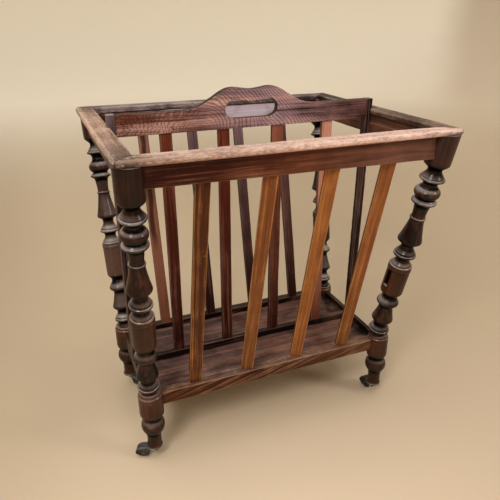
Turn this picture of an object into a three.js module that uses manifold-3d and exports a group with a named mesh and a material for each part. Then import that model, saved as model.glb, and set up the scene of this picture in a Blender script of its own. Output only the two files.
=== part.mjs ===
// Rolling magazine rack: an open two-pocket stand on four casters.
// Millimetres. X runs along the front, Y runs to the back, Z is up from the floor.
import * as THREE from 'three';
import { mergeVertices } from 'three/addons/utils/BufferGeometryUtils.js';
import Module from 'manifold-3d';

const wasm = await Module();
wasm.setup();

// Fits
const fitGap = 0.3;
const overrun = 4;

// Casters
const wheelRadius = 10;
const wheelWidth = 6;
const wheelEdge = 1.6;
const axleRadius = 1.4;
const axleHeadRadius = 2.6;
const axleHeadThickness = 0.9;
const wheelSideGap = 0.6;
const wheelTopGap = 0.8;
const hornWall = 1.3;
const hornCheek = 3;
const cheekDrop = 4;
const trail = 17;
const pivotRadius = 2.2;
const pivotHeadRadius = 3.8;
const pivotHeadThickness = 2.2;
const bossLength = 5;
const bossReach = 6.5;
const plateRadius = 12.5;
const plateThickness = 3;
const plateEdge = 0.8;
const pegRadius = 3.5;
const pegLength = 22;

// Turned feet
const footHeight = 101.6;
const footRadius = 18.6;
const dowelRadius = 6;
const dowelLength = 24;
const dowelRoot = 6;

// Turned posts, leaning outward from the feet to the top frame
const postRise = 360.6;
const postRadius = 17.5;
const turnedLength = 328.8;
const postSpreadX = 10.7;
const postSpreadY = 73.1;
// One old post has crept inward at its head
const backLeftCreep = 3.6;

// Tray
const trayDrop = 7;
const trayRailHeight = 21;
const frontRailWidth = 14.6;
const frontRailReach = 4;
const endRailWidth = 7.5;
const endRailReach = 5;
const floorRecess = 10.5;
const floorThickness = 6;
const floorTongue = 3;
const trayTenonLength = 9;
const trayTenonThickness = 5;
const trayTenonInset = 3;
const dividerRailThickness = 9.5;

// Top frame
const capLength = 463.4;
const capDepth = 380.4;
const capThickness = 8.4;
const capInnerRound = 1.6;
const capOverhang = 12.8;
const capLip = 0.5;
const friezeThickness = 13.4;
const friezeHeight = 30;
const friezeLedge = 1.8;
const friezeLedgeDrop = 13;
const friezeTenonLength = 8;
const friezeTenonThickness = 6;
const friezeTenonInset = 5;

// Slats and stiles
const frontSlatWidth = 19;
const backSlatWidth = 17.5;
const dividerSlatWidth = 17.5;
const slatThickness = 7;
const slatEndDistance = 72.5;
const slatTenonLength = 6;
const slatShoulder = 1.6;
const railSlatSetback = 10.4;
const friezeSlatSetback = 9.6;
const stileWidth = 14;
const stileThickness = 10.5;
const stileReach = 1.5;
const stileTenonLength = 9;
const stileTenonWidth = 8;
const stileTenonThickness = 3.5;
const stileRise = 15.5;

// Handle board
const boardThickness = 12;
const boardHeight = 30;
const boardTenonLength = 7;
const boardTenonThickness = 5;
const boardTenonInset = 6;
const crestRise = 27.5;
const crestHalfWidth = 102;
const gripHalfWidth = 41;
const gripHeight = 27.5;
const gripFloor = 14;

// Empty mortise in one post
const mortiseHeight = 30;
const mortiseWidth = 9;
const mortiseDepth = 9;
const mortiseRise = 126;

// How far each caster is turned on its pivot, in degrees from +X
const restTurns = { front_left: 157, front_right: 94, back_left: -52, back_right: 35 };

const postSides = 16;
const roundSides = 16;
const wheelSides = 24;
const leanStretch = 1.03;
// One of the hand-turned posts came out thicker than the others
const postGirths = { front_left: 1, front_right: 1.1, back_left: 1, back_right: 1 };
const slatCount = 4;

// Levels above the floor
const hornRoof = wheelRadius + wheelTopGap + hornWall;
const hornTop = wheelRadius + hornRoof;
const plateBottom = hornTop + fitGap;
const footBottom = plateBottom + plateThickness;
const footTop = footBottom + footHeight;
const trayTop = footTop - trayDrop;
const trayBottom = trayTop - trayRailHeight;
const floorTop = trayTop - floorRecess;
const floorBottom = floorTop - floorThickness;
const capBottom = footTop + postRise;
const capTop = capBottom + capThickness;
const friezeBottom = capBottom - friezeHeight;
const friezeMiddle = capBottom - friezeHeight / 2;
const stileTop = capTop + stileRise;
const boardBottom = stileTop - boardHeight;

// Faces of the top frame and the tray, measured out from the centre
const capWidth = capOverhang + friezeThickness + capLip;
const friezeOutX = capLength / 2 - capOverhang;
const friezeOutY = capDepth / 2 - capOverhang;
const friezeMidX = friezeOutX - friezeThickness / 2;
const friezeMidY = friezeOutY - friezeThickness / 2;
const footX = friezeMidX - postSpreadX;
const footY = friezeMidY - postSpreadY;
const frontRailOut = footY + frontRailReach;
const frontRailIn = frontRailOut - frontRailWidth;
const endRailOut = footX + endRailReach;
const endRailIn = endRailOut - endRailWidth;
const stileOut = endRailOut + stileReach;
const stileIn = stileOut - stileThickness;
const boardHalfLength = stileIn - fitGap;
const dividerRailHalf = endRailIn - fitGap;
const slatSpacing = ((footX - slatEndDistance) * 2) / (slatCount - 1);

const corners = [
  { name: 'front_left', sx: -1, sy: -1 },
  { name: 'front_right', sx: 1, sy: -1 },
  { name: 'back_left', sx: -1, sy: 1 },
  { name: 'back_right', sx: 1, sy: 1 },
];

const finish = {
  post: { color: 0x4a2618, roughness: 0.38, metalness: 0 },
  rail: { color: 0x5a2f1e, roughness: 0.5, metalness: 0 },
  cap: { color: 0x8a6450, roughness: 0.5, metalness: 0 },
  tray: { color: 0x5c4238, roughness: 0.6, metalness: 0 },
  slat: { color: 0x8a4f26, roughness: 0.5, metalness: 0 },
  darkSlat: { color: 0x4c2620, roughness: 0.5, metalness: 0 },
  board: { color: 0x6e3826, roughness: 0.45, metalness: 0 },
  horn: { color: 0x6d6f70, roughness: 0.45, metalness: 0.9 },
  wheel: { color: 0x22201e, roughness: 0.5, metalness: 0.6 },
  steel: { color: 0x55524e, roughness: 0.45, metalness: 0.9 },
};

// A closed solid from a three.js geometry, with its shared vertices merged
function toSolid(geometry) {
  const bare = geometry.clone();
  bare.deleteAttribute('normal');
  bare.deleteAttribute('uv');
  const merged = mergeVertices(bare);
  const vertProperties = new Float32Array(merged.attributes.position.array);
  const triVerts = new Uint32Array(merged.index.array);
  return new wasm.Manifold(new wasm.Mesh({ numProp: 3, vertProperties, triVerts }));
}

function toGeometry(solid) {
  const mesh = solid.getMesh();
  const geometry = new THREE.BufferGeometry();
  geometry.setAttribute('position', new THREE.BufferAttribute(mesh.vertProperties, mesh.numProp));
  geometry.setIndex(new THREE.BufferAttribute(mesh.triVerts, 1));
  geometry.computeVertexNormals();
  return geometry;
}

function block(x0, x1, y0, y1, z0, z1) {
  const geometry = new THREE.BoxGeometry(x1 - x0, y1 - y0, z1 - z0);
  geometry.translate((x0 + x1) / 2, (y0 + y1) / 2, (z0 + z1) / 2);
  return toSolid(geometry);
}

// The same block for any order of its limits
function span(xa, xb, ya, yb, za, zb) {
  const [x0, x1] = [Math.min(xa, xb), Math.max(xa, xb)];
  const [y0, y1] = [Math.min(ya, yb), Math.max(ya, yb)];
  const [z0, z1] = [Math.min(za, zb), Math.max(za, zb)];
  return block(x0, x1, y0, y1, z0, z1);
}

// A turned body about the Z axis from outline points [radius, height]
function turned(outline, sides) {
  const points = outline.map(([radius, height]) => new THREE.Vector2(radius, height));
  const geometry = new THREE.LatheGeometry(points, sides);
  geometry.rotateX(Math.PI / 2);
  return geometry;
}

function rod(radius, z0, z1, sides = roundSides) {
  return turned([[0, z0], [radius, z0], [radius, z1], [0, z1]], sides);
}

// A flat outline in X and Z, given its thickness along Y about the middle plane
function upright(shape, thickness, curveSegments) {
  const geometry = new THREE.ExtrudeGeometry(shape, { depth: thickness, bevelEnabled: false, curveSegments });
  geometry.rotateX(Math.PI / 2);
  geometry.translate(0, thickness / 2, 0);
  return geometry;
}

function polygon(points) {
  return new THREE.Shape(points.map(([x, y]) => new THREE.Vector2(x, y)));
}

// Turned outlines: each step is [height share, radius share]
function turnedOutline(steps, startShare, length, radius) {
  const points = steps.map(([heightShare, radiusShare]) => [radiusShare * radius, heightShare * length]);
  return [[startShare * radius, 0], ...points];
}

const postStartShare = 0.686;
const postShares = [
  [0.0152, 0.629],
  [0.0274, 0.72],
  [0.0347, 0.874],
  [0.0401, 0.92],
  [0.0481, 0.857],
  [0.0639, 0.703],
  [0.0773, 0.554],
  [0.0918, 0.571],
  [0.104, 0.823],
  [0.1113, 0.92],
  [0.1192, 0.92],
  [0.1521, 0.749],
  [0.1953, 0.583],
  [0.208, 0.64],
  [0.2172, 0.869],
  [0.2232, 0.937],
  [0.2324, 0.926],
  [0.2433, 0.811],
  [0.2573, 0.617],
  [0.2731, 0.6],
  [0.2859, 0.811],
  [0.2944, 0.926],
  [0.3011, 0.94],
  [0.4319, 0.94],
  [0.438, 0.971],
  [0.458, 0.943],
  [0.4726, 0.737],
  [0.4866, 0.554],
  [0.5018, 0.549],
  [0.514, 0.811],
  [0.5201, 0.926],
  [0.528, 0.869],
  [0.5456, 0.663],
  [0.5608, 0.514],
  [0.5779, 0.526],
  [0.5918, 0.823],
  [0.5998, 0.977],
  [0.6204, 0.886],
  [0.6569, 0.737],
  [0.7117, 0.56],
  [0.7172, 0.554],
  [0.7217, 0.634],
  [0.7263, 0.549],
  [0.7603, 0.554],
  [0.7865, 0.617],
  [0.7944, 0.674],
  [0.8011, 0.846],
  [0.8078, 0.966],
  [0.8145, 0.857],
  [0.826, 0.669],
  [0.8333, 0.823],
  [0.8412, 0.943],
  [0.8504, 0.989],
  [0.8589, 0.971],
  [0.8698, 0.851],
  [0.8802, 0.663],
  [0.8942, 0.56],
  [0.9094, 0.646],
  [0.9148, 0.846],
  [0.9203, 0.971],
  [0.9282, 0.857],
  [0.9367, 0.76],
  [0.9538, 0.56],
  [0.9678, 0.566],
  [0.9836, 0.846],
  [0.9927, 0.983],
  [1, 1],
];

const footStartShare = 0.634;
const footShares = [
  [0.0197, 0.602],
  [0.0591, 0.581],
  [0.1772, 0.581],
  [0.2362, 0.634],
  [0.2805, 0.742],
  [0.3248, 0.892],
  [0.3691, 0.957],
  [0.4085, 0.957],
  [0.4478, 0.903],
  [0.4872, 0.79],
  [0.5167, 0.737],
  [0.5512, 0.796],
  [0.5955, 0.946],
  [0.6299, 1],
  [0.9449, 1],
  [0.9744, 0.978],
  [1, 0.909],
];

// The line of a post: through the middle of its foot's top and the middle of the frieze corner
function postFrame(corner) {
  const low = new THREE.Vector3(corner.sx * footX, corner.sy * footY, footTop);
  const headX = friezeMidX - (corner.name === 'back_left' ? backLeftCreep : 0);
  const high = new THREE.Vector3(corner.sx * headX, corner.sy * friezeMidY, friezeMiddle);
  const axis = high.clone().sub(low).normalize();
  const turn = new THREE.Quaternion().setFromUnitVectors(new THREE.Vector3(0, 0, 1), axis);
  return new THREE.Matrix4().compose(low, turn, new THREE.Vector3(1, 1, 1));
}

// Post body, from a little below the foot's top to a little above the cap, grown by a gap
function postBody(corner, gap) {
  const radius = postRadius * postGirths[corner.name] + gap;
  const tip = [0, -overrun * 2];
  const start = [postStartShare * radius, -overrun * 2];
  const outline = turnedOutline(postShares, postStartShare, turnedLength, radius);
  const end = postRise * leanStretch + overrun;
  const points = [tip, start, ...outline.slice(1), [radius, end], [0, end]];
  const geometry = turned(points, postSides);
  geometry.applyMatrix4(postFrame(corner));
  return toSolid(geometry);
}

function footCylinder(corner, gap) {
  const geometry = rod(footRadius + gap, trayBottom - overrun, footTop + overrun, roundSides * 2);
  geometry.translate(corner.sx * footX, corner.sy * footY, 0);
  return toSolid(geometry);
}

function dowel(corner, gap) {
  const geometry = rod(dowelRadius + gap, footTop - dowelLength - gap, footTop + dowelRoot);
  geometry.translate(corner.sx * footX, corner.sy * footY, 0);
  return toSolid(geometry);
}

// Tenons on the ends of the tray rails and of the friezes; grown by a gap they are the mortises
function trayTenon(corner, alongX, gap) {
  const low = trayBottom + trayTenonInset - gap;
  const high = trayTop - trayTenonInset + gap;
  const half = trayTenonThickness / 2 + gap;
  if (alongX) {
    const middle = corner.sy * (frontRailOut + frontRailIn) / 2;
    const tip = footX - footRadius + trayTenonLength + gap;
    const root = footX - footRadius - overrun;
    return span(corner.sx * root, corner.sx * tip, middle - half, middle + half, low, high);
  }
  const middle = corner.sx * (endRailOut + endRailIn) / 2;
  const tip = footY - footRadius + trayTenonLength + gap;
  const root = footY - footRadius - overrun;
  return span(middle - half, middle + half, corner.sy * root, corner.sy * tip, low, high);
}

function friezeTenon(corner, alongX, gap) {
  const low = friezeBottom + friezeTenonInset - gap;
  const high = capBottom - friezeTenonInset + gap;
  const half = friezeTenonThickness / 2 + gap;
  if (alongX) {
    const middle = corner.sy * friezeMidY;
    const tip = friezeMidX - postRadius + friezeTenonLength + gap;
    const root = friezeMidX - postRadius - overrun * 2;
    return span(corner.sx * root, corner.sx * tip, middle - half, middle + half, low, high);
  }
  const middle = corner.sx * friezeMidX;
  const tip = friezeMidY - postRadius + friezeTenonLength + gap;
  const root = friezeMidY - postRadius - overrun * 2;
  return span(middle - half, middle + half, corner.sy * root, corner.sy * tip, low, high);
}

// A slat leans from its foot point to its head point; both lie on the faces that it meets
function slatBar(slat, width, thickness, extra) {
  const low = new THREE.Vector3(slat.x, slat.y0, slat.z0);
  const high = new THREE.Vector3(slat.x, slat.y1, slat.z1);
  const rise = high.distanceTo(low);
  const lean = Math.atan2(low.y - high.y, high.z - low.z);
  const geometry = new THREE.BoxGeometry(width, thickness, rise + extra * 2);
  geometry.rotateX(lean);
  geometry.translate(slat.x, (slat.y0 + slat.y1) / 2, (slat.z0 + slat.z1) / 2);
  return toSolid(geometry);
}

function slatTenons(slat, gap) {
  const shrink = slatShoulder * 2 - gap * 2;
  return slatBar(slat, slat.width - shrink, slat.thickness - shrink, slatTenonLength + gap);
}

function slatSolid(slat) {
  const reach = slat.width + slat.thickness;
  const middle = (slat.y0 + slat.y1) / 2;
  const depth = Math.abs(slat.y0 - slat.y1) / 2 + reach;
  const z0 = slat.z0 + fitGap;
  const z1 = slat.z1 - fitGap;
  const layer = block(slat.x - reach, slat.x + reach, middle - depth, middle + depth, z0, z1);
  return slatBar(slat, slat.width, slat.thickness, reach).intersect(layer).add(slatTenons(slat, 0));
}

function slatRow(name, width, y0, y1, z0, z1) {
  const slats = [];
  for (let i = 0; i < slatCount; i += 1) {
    const x = (i - (slatCount - 1) / 2) * slatSpacing;
    slats.push({ name: `${name}_${i + 1}`, x, y0, y1, z0, z1, width, thickness: slatThickness });
  }
  return slats;
}

const railSlatY = frontRailOut - railSlatSetback;
const friezeSlatY = friezeOutY - friezeSlatSetback;
const frontSlats = slatRow('front_slat', frontSlatWidth, -railSlatY, -friezeSlatY, trayTop, friezeBottom);
const backSlats = slatRow('back_slat', backSlatWidth, railSlatY, friezeSlatY, trayTop, friezeBottom);
const dividerSlats = slatRow('divider_slat', dividerSlatWidth, 0, 0, trayTop, boardBottom);

const group = new THREE.Group();

function addMesh(parent, name, geometry, look) {
  const mesh = new THREE.Mesh(geometry, new THREE.MeshStandardMaterial(look));
  mesh.name = name;
  parent.add(mesh);
}

function addSolid(name, solid, look) {
  addMesh(group, name, toGeometry(solid), look);
}

function subtractAll(solid, cutters) {
  return cutters.reduce((rest, cutter) => rest.subtract(cutter), solid);
}

// The peg of a caster plate; grown by a gap it is the hole in the foot
function pegRod(corner, gap) {
  const geometry = rod(pegRadius + gap, plateBottom - gap, footBottom + pegLength + gap);
  geometry.translate(corner.sx * footX, corner.sy * footY, 0);
  return toSolid(geometry);
}

function addPosts() {
  const layer = block(-capLength, capLength, -capDepth, capDepth, footTop, capBottom);
  for (const corner of corners) {
    let solid = postBody(corner, 0).intersect(layer).add(dowel(corner, 0));
    solid = solid.subtract(friezeTenon(corner, true, fitGap));
    solid = solid.subtract(friezeTenon(corner, false, fitGap));
    if (corner.name === 'front_right') {
      solid = solid.subtract(emptyMortise(corner));
    }
    addSolid(`post_${corner.name}`, solid, finish.post);
  }
}

// A slot left open on the inner side of the middle drum of the post
function emptyMortise(corner) {
  const outside = -(postRadius * postGirths[corner.name] + overrun);
  const bottom = outside + overrun + mortiseDepth;
  const geometry = new THREE.BoxGeometry(bottom - outside, mortiseWidth, mortiseHeight);
  geometry.translate((outside + bottom) / 2, 0, mortiseRise);
  geometry.applyMatrix4(postFrame(corner));
  return toSolid(geometry);
}

function addFeet() {
  for (const corner of corners) {
    const outline = turnedOutline(footShares, footStartShare, footHeight, footRadius);
    const geometry = turned([[0, 0], ...outline, [0, footHeight]], postSides);
    geometry.translate(corner.sx * footX, corner.sy * footY, footBottom);
    const cutters = [
      dowel(corner, fitGap),
      trayTenon(corner, true, fitGap),
      trayTenon(corner, false, fitGap),
      pegRod(corner, fitGap),
    ];
    addSolid(`foot_${corner.name}`, subtractAll(toSolid(geometry), cutters), finish.post);
  }
}

function floorPanel(gap) {
  const x = endRailIn + floorTongue + gap;
  const y = frontRailIn + floorTongue + gap;
  return block(-x, x, -y, y, floorBottom - gap, floorTop + gap);
}

function addTray() {
  const scribes = corners.map((corner) => footCylinder(corner, fitGap));
  const groove = subtractAll(floorPanel(fitGap), corners.map((corner) => footCylinder(corner, 0)));
  for (const sy of [-1, 1]) {
    const ends = corners.filter((corner) => corner.sy === sy);
    let rail = span(-footX, footX, sy * frontRailIn, sy * frontRailOut, trayBottom, trayTop);
    rail = subtractAll(rail, scribes);
    ends.forEach((corner) => { rail = rail.add(trayTenon(corner, true, 0)); });
    const row = sy < 0 ? frontSlats : backSlats;
    rail = subtractAll(rail, [groove, ...row.map((slat) => slatTenons(slat, fitGap))]);
    addSolid(sy < 0 ? 'tray_front_rail' : 'tray_back_rail', rail, finish.rail);
  }
  for (const sx of [-1, 1]) {
    const ends = corners.filter((corner) => corner.sx === sx);
    let rail = span(sx * endRailIn, sx * endRailOut, -footY, footY, trayBottom, trayTop);
    rail = subtractAll(rail, scribes);
    ends.forEach((corner) => { rail = rail.add(trayTenon(corner, false, 0)); });
    rail = subtractAll(rail, [groove, stileTenon(sx, fitGap)]);
    addSolid(sx < 0 ? 'tray_left_rail' : 'tray_right_rail', rail, finish.rail);
  }
  addSolid('tray_floor', subtractAll(floorPanel(0), scribes), finish.tray);
}

function addDivider() {
  const half = dividerRailThickness / 2;
  const rail = block(-dividerRailHalf, dividerRailHalf, -half, half, floorTop, trayTop);
  const mortises = dividerSlats.map((slat) => slatTenons(slat, fitGap));
  addSolid('divider_bottom_rail', subtractAll(rail, mortises), finish.tray);
  addStiles();
  addBoard(mortises);
  dividerSlats.forEach((slat) => addSolid(slat.name, slatSolid(slat), finish.darkSlat));
}

function stileBar(side, gap) {
  const half = stileWidth / 2 + gap;
  const inner = stileIn - gap;
  const outer = stileOut + gap;
  return span(side * inner, side * outer, -half, half, trayTop + fitGap, stileTop + gap);
}

// Tenon of a stile in the top of its end rail; grown by a gap it is the mortise
function stileTenon(side, gap) {
  const middle = side * (endRailOut + endRailIn) / 2;
  const thick = stileTenonThickness / 2 + gap;
  const wide = stileTenonWidth / 2 + gap;
  const bottom = trayTop - stileTenonLength - gap;
  return block(middle - thick, middle + thick, -wide, wide, bottom, trayTop + overrun);
}

function addStiles() {
  for (const side of [-1, 1]) {
    const solid = stileBar(side, 0).subtract(boardTenon(side, fitGap)).add(stileTenon(side, 0));
    addSolid(side < 0 ? 'stile_left' : 'stile_right', solid, finish.darkSlat);
  }
}

function boardTenon(side, gap) {
  const half = boardTenonThickness / 2 + gap;
  const root = boardHalfLength - overrun;
  const tip = boardHalfLength + boardTenonLength + gap;
  const low = boardBottom + boardTenonInset - gap;
  const high = stileTop - boardTenonInset + gap;
  return span(side * root, side * tip, -half, half, low, high);
}

const crestShares = [
  [1, 0],
  [0.88, 0.06],
  [0.755, 0.2],
  [0.603, 0.5],
  [0.48, 0.78],
  [0.373, 0.955],
  [0.265, 1],
  [0.127, 0.93],
];
const crestDipShare = 0.88;
const gripShares = [
  [0.68, 0],
  [0.93, 0.18],
  [1, 0.49],
  [0.92, 0.8],
  [0.65, 1],
  [0.35, 0.92],
];
const gripDipShare = 0.84;

function mirrored(points, middle) {
  const left = points.map(([x, z]) => [-x, z]);
  return [...points, middle, ...left.reverse()];
}

function boardShape() {
  const crest = crestShares.map(([x, z]) => [x * crestHalfWidth, stileTop + z * crestRise]);
  const crestLine = mirrored(crest, [0, stileTop + crestDipShare * crestRise]);
  const gripBottom = boardBottom + gripFloor;
  const grip = gripShares.map(([x, z]) => [x * gripHalfWidth, gripBottom + z * gripHeight]);
  const gripLine = mirrored(grip, [0, gripBottom + gripDipShare * gripHeight]);
  const shape = new THREE.Shape();
  shape.moveTo(-boardHalfLength, boardBottom);
  shape.lineTo(boardHalfLength, boardBottom);
  shape.lineTo(boardHalfLength, stileTop);
  shape.lineTo(crestHalfWidth, stileTop);
  shape.splineThru(crestLine.slice(1).map(([x, z]) => new THREE.Vector2(x, z)));
  shape.lineTo(-boardHalfLength, stileTop);
  const hole = new THREE.Path();
  hole.moveTo(...gripLine[0]);
  hole.splineThru(gripLine.slice(1).map(([x, z]) => new THREE.Vector2(x, z)));
  shape.holes.push(hole);
  return shape;
}

function addBoard(mortises) {
  let solid = toSolid(upright(boardShape(), boardThickness, 2));
  for (const side of [-1, 1]) {
    solid = solid.add(boardTenon(side, 0));
  }
  addSolid('handle_board', subtractAll(solid, mortises), finish.board);
}

// A frieze rail along X in its own middle, with its upper inner face set back to a ledge.
// facing is the direction of its outer face along Y.
function friezeBar(facing, half) {
  const outer = friezeThickness / 2;
  const stepped = friezeLedge - outer;
  const ledge = capBottom - friezeLedgeDrop;
  const section = polygon([
    [-outer, friezeBottom],
    [outer, friezeBottom],
    [outer, capBottom],
    [stepped, capBottom],
    [stepped, ledge],
    [-outer, ledge],
  ]);
  const geometry = new THREE.ExtrudeGeometry(section, { depth: half * 2, bevelEnabled: false });
  geometry.translate(0, 0, -half);
  geometry.rotateX(Math.PI / 2);
  geometry.rotateZ(facing * Math.PI / 2);
  return geometry;
}

function addFriezes() {
  const postCutters = corners.map((corner) => postBody(corner, fitGap));
  for (const sy of [-1, 1]) {
    const ends = corners.filter((corner) => corner.sy === sy);
    const geometry = friezeBar(sy, friezeMidX);
    geometry.translate(0, sy * friezeMidY, 0);
    let rail = subtractAll(toSolid(geometry), postCutters);
    rail = rail.add(friezeTenon(ends[0], true, 0)).add(friezeTenon(ends[1], true, 0));
    const row = sy < 0 ? frontSlats : backSlats;
    rail = subtractAll(rail, row.map((slat) => slatTenons(slat, fitGap)));
    addSolid(sy < 0 ? 'frieze_front' : 'frieze_back', rail, finish.rail);
  }
  for (const sx of [-1, 1]) {
    const ends = corners.filter((corner) => corner.sx === sx);
    const geometry = friezeBar(1, friezeMidY);
    geometry.rotateZ(-sx * Math.PI / 2);
    geometry.translate(sx * friezeMidX, 0, 0);
    let rail = subtractAll(toSolid(geometry), [...postCutters, stileBar(sx, fitGap)]);
    rail = rail.add(friezeTenon(ends[0], false, 0)).add(friezeTenon(ends[1], false, 0));
    addSolid(sx < 0 ? 'frieze_left' : 'frieze_right', rail, finish.rail);
  }
}

// Cap section in [distance in from the outer edge, height]: half-round nose, eased inner edge
function capSection() {
  const nose = capThickness / 2;
  const shape = new THREE.Shape();
  shape.moveTo(nose, 0);
  shape.lineTo(capWidth, 0);
  shape.lineTo(capWidth, capThickness - capInnerRound);
  shape.lineTo(capWidth - capInnerRound, capThickness);
  shape.lineTo(nose, capThickness);
  shape.absarc(nose, nose, nose, Math.PI / 2, (Math.PI * 3) / 2, false);
  return shape;
}

// A mitred cap rail along X, its outer edge at -outer in Y
function capRail(half, outer) {
  const bar = new THREE.ExtrudeGeometry(capSection(), {
    depth: half * 2, bevelEnabled: false, curveSegments: 6,
  });
  bar.rotateX(Math.PI / 2);
  bar.rotateZ(Math.PI / 2);
  bar.translate(-half, -outer, capBottom);
  const end = half - fitGap;
  const plan = polygon([
    [-end - overrun, -outer - overrun],
    [end + overrun, -outer - overrun],
    [end - capWidth - overrun, -outer + capWidth + overrun],
    [-end + capWidth + overrun, -outer + capWidth + overrun],
  ]);
  const height = capThickness + overrun * 2;
  const mask = new THREE.ExtrudeGeometry(plan, { depth: height, bevelEnabled: false });
  mask.translate(0, 0, capBottom - overrun);
  return toSolid(bar).intersect(toSolid(mask));
}

function addCaps() {
  const sides = [
    { name: 'cap_front', turn: 0, half: capLength / 2, outer: capDepth / 2 },
    { name: 'cap_right', turn: 90, half: capDepth / 2, outer: capLength / 2 },
    { name: 'cap_back', turn: 180, half: capLength / 2, outer: capDepth / 2 },
    { name: 'cap_left', turn: 270, half: capDepth / 2, outer: capLength / 2 },
  ];
  const stiles = [stileBar(-1, fitGap), stileBar(1, fitGap)];
  for (const side of sides) {
    const solid = capRail(side.half, side.outer).rotate([0, 0, side.turn]);
    addSolid(side.name, subtractAll(solid, stiles), finish.cap);
  }
}

function addSlats() {
  frontSlats.forEach((slat) => addSolid(slat.name, slatSolid(slat), finish.slat));
  backSlats.forEach((slat) => addSolid(slat.name, slatSolid(slat), finish.darkSlat));
}

// Plate with a peg up into the foot and a pivot pin below, whose head carries the horn
function plateSolid() {
  const bossBottom = hornTop - bossLength;
  const headTop = bossBottom - fitGap;
  const headBottom = headTop - pivotHeadThickness;
  const outline = [
    [0, headBottom],
    [pivotHeadRadius, headBottom],
    [pivotHeadRadius, headTop],
    [pivotRadius, headTop],
    [pivotRadius, plateBottom],
    [plateRadius - plateEdge, plateBottom],
    [plateRadius, plateBottom + plateEdge],
    [plateRadius, footBottom - plateEdge],
    [plateRadius - plateEdge, footBottom],
    [pegRadius, footBottom],
    [pegRadius, footBottom + pegLength],
    [0, footBottom + pegLength],
  ];
  return toSolid(turned(outline, wheelSides));
}

// Horn in its own frame: pivot on the Z axis, wheel trailing along +X
function hornSolid() {
  const bossBottom = hornTop - bossLength;
  const outline = new THREE.Shape();
  outline.moveTo(-bossReach, bossBottom);
  outline.lineTo(bossReach, bossBottom);
  outline.lineTo(trail - wheelRadius / 2, wheelRadius - cheekDrop);
  outline.lineTo(trail + wheelRadius / 2, wheelRadius - cheekDrop);
  outline.lineTo(trail + hornRoof, wheelRadius);
  outline.absarc(trail, wheelRadius, hornRoof, 0, Math.PI / 2, false);
  outline.lineTo(-bossReach, hornTop);
  const inside = wheelWidth + wheelSideGap * 2;
  const body = toSolid(upright(outline, inside + hornCheek * 2, 8));
  const hollow = wheelRadius + wheelTopGap;
  const drum = rod(hollow, -inside / 2, inside / 2, wheelSides);
  drum.rotateX(Math.PI / 2);
  drum.translate(trail, 0, wheelRadius);
  const below = block(trail - hollow, trail + hollow, -inside / 2, inside / 2, -overrun, wheelRadius);
  const pivotHole = toSolid(rod(pivotRadius + fitGap, -overrun, hornTop + overrun));
  const headSpace = toSolid(rod(pivotHeadRadius + fitGap, -overrun, bossBottom));
  const axleHole = axleRod(axleRadius + fitGap, inside + hornCheek * 4);
  return subtractAll(body, [toSolid(drum), below, pivotHole, headSpace, axleHole]);
}

function axleRod(radius, length) {
  const geometry = rod(radius, -length / 2, length / 2, roundSides / 2);
  geometry.rotateX(Math.PI / 2);
  geometry.translate(trail, 0, wheelRadius);
  return toSolid(geometry);
}

function axleGeometry() {
  const inside = wheelWidth + wheelSideGap * 2;
  const across = inside + hornCheek * 2 + fitGap * 2;
  const outline = [
    [0, -across / 2 - axleHeadThickness],
    [axleHeadRadius, -across / 2 - axleHeadThickness],
    [axleHeadRadius, -across / 2],
    [axleRadius, -across / 2],
    [axleRadius, across / 2],
    [axleHeadRadius, across / 2],
    [axleHeadRadius, across / 2 + axleHeadThickness],
    [0, across / 2 + axleHeadThickness],
  ];
  const geometry = turned(outline, roundSides / 2);
  geometry.rotateX(Math.PI / 2);
  return geometry;
}

function wheelGeometry() {
  const half = wheelWidth / 2;
  const bore = axleRadius + fitGap;
  const outline = [
    [bore, -half],
    [wheelRadius - wheelEdge, -half],
    [wheelRadius, -half + wheelEdge],
    [wheelRadius, half - wheelEdge],
    [wheelRadius - wheelEdge, half],
    [bore, half],
    [bore, -half],
  ];
  const geometry = turned(outline, wheelSides);
  geometry.rotateX(Math.PI / 2);
  return geometry;
}

function addCasters() {
  const plate = toGeometry(plateSolid());
  const horn = toGeometry(hornSolid());
  for (const corner of corners) {
    const caster = new THREE.Group();
    caster.position.set(corner.sx * footX, corner.sy * footY, 0);
    group.add(caster);
    addMesh(caster, `caster_plate_${corner.name}`, plate.clone(), finish.steel);
    const swivel = new THREE.Group();
    swivel.rotation.z = THREE.MathUtils.degToRad(restTurns[corner.name]);
    caster.add(swivel);
    addMesh(swivel, `caster_horn_${corner.name}`, horn.clone(), finish.horn);
    const spin = new THREE.Group();
    spin.position.set(trail, 0, wheelRadius);
    swivel.add(spin);
    addMesh(spin, `caster_axle_${corner.name}`, axleGeometry(), finish.steel);
    addMesh(spin, `caster_wheel_${corner.name}`, wheelGeometry(), finish.wheel);
  }
}

addPosts();
addFeet();
addTray();
addDivider();
addFriezes();
addCaps();
addSlats();
addCasters();

export default group;
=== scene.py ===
"""Looks for the rolling magazine rack: finer wood and metal pieces, their materials, and the studio."""

import math

import bpy
import numpy as np
from mathutils import Matrix, Vector


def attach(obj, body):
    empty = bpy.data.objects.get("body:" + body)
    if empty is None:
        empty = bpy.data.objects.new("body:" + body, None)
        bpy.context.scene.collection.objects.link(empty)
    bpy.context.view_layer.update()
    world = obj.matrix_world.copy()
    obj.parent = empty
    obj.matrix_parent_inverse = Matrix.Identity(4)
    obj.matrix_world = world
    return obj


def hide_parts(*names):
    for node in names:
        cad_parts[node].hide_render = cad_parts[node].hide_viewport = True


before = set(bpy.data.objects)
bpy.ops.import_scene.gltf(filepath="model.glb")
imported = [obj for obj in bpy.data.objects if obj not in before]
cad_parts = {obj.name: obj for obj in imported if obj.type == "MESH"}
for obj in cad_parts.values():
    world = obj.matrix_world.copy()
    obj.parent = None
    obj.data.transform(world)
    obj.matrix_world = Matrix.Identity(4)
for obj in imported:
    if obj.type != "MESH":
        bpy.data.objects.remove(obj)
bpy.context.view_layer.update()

MM = 0.001
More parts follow.
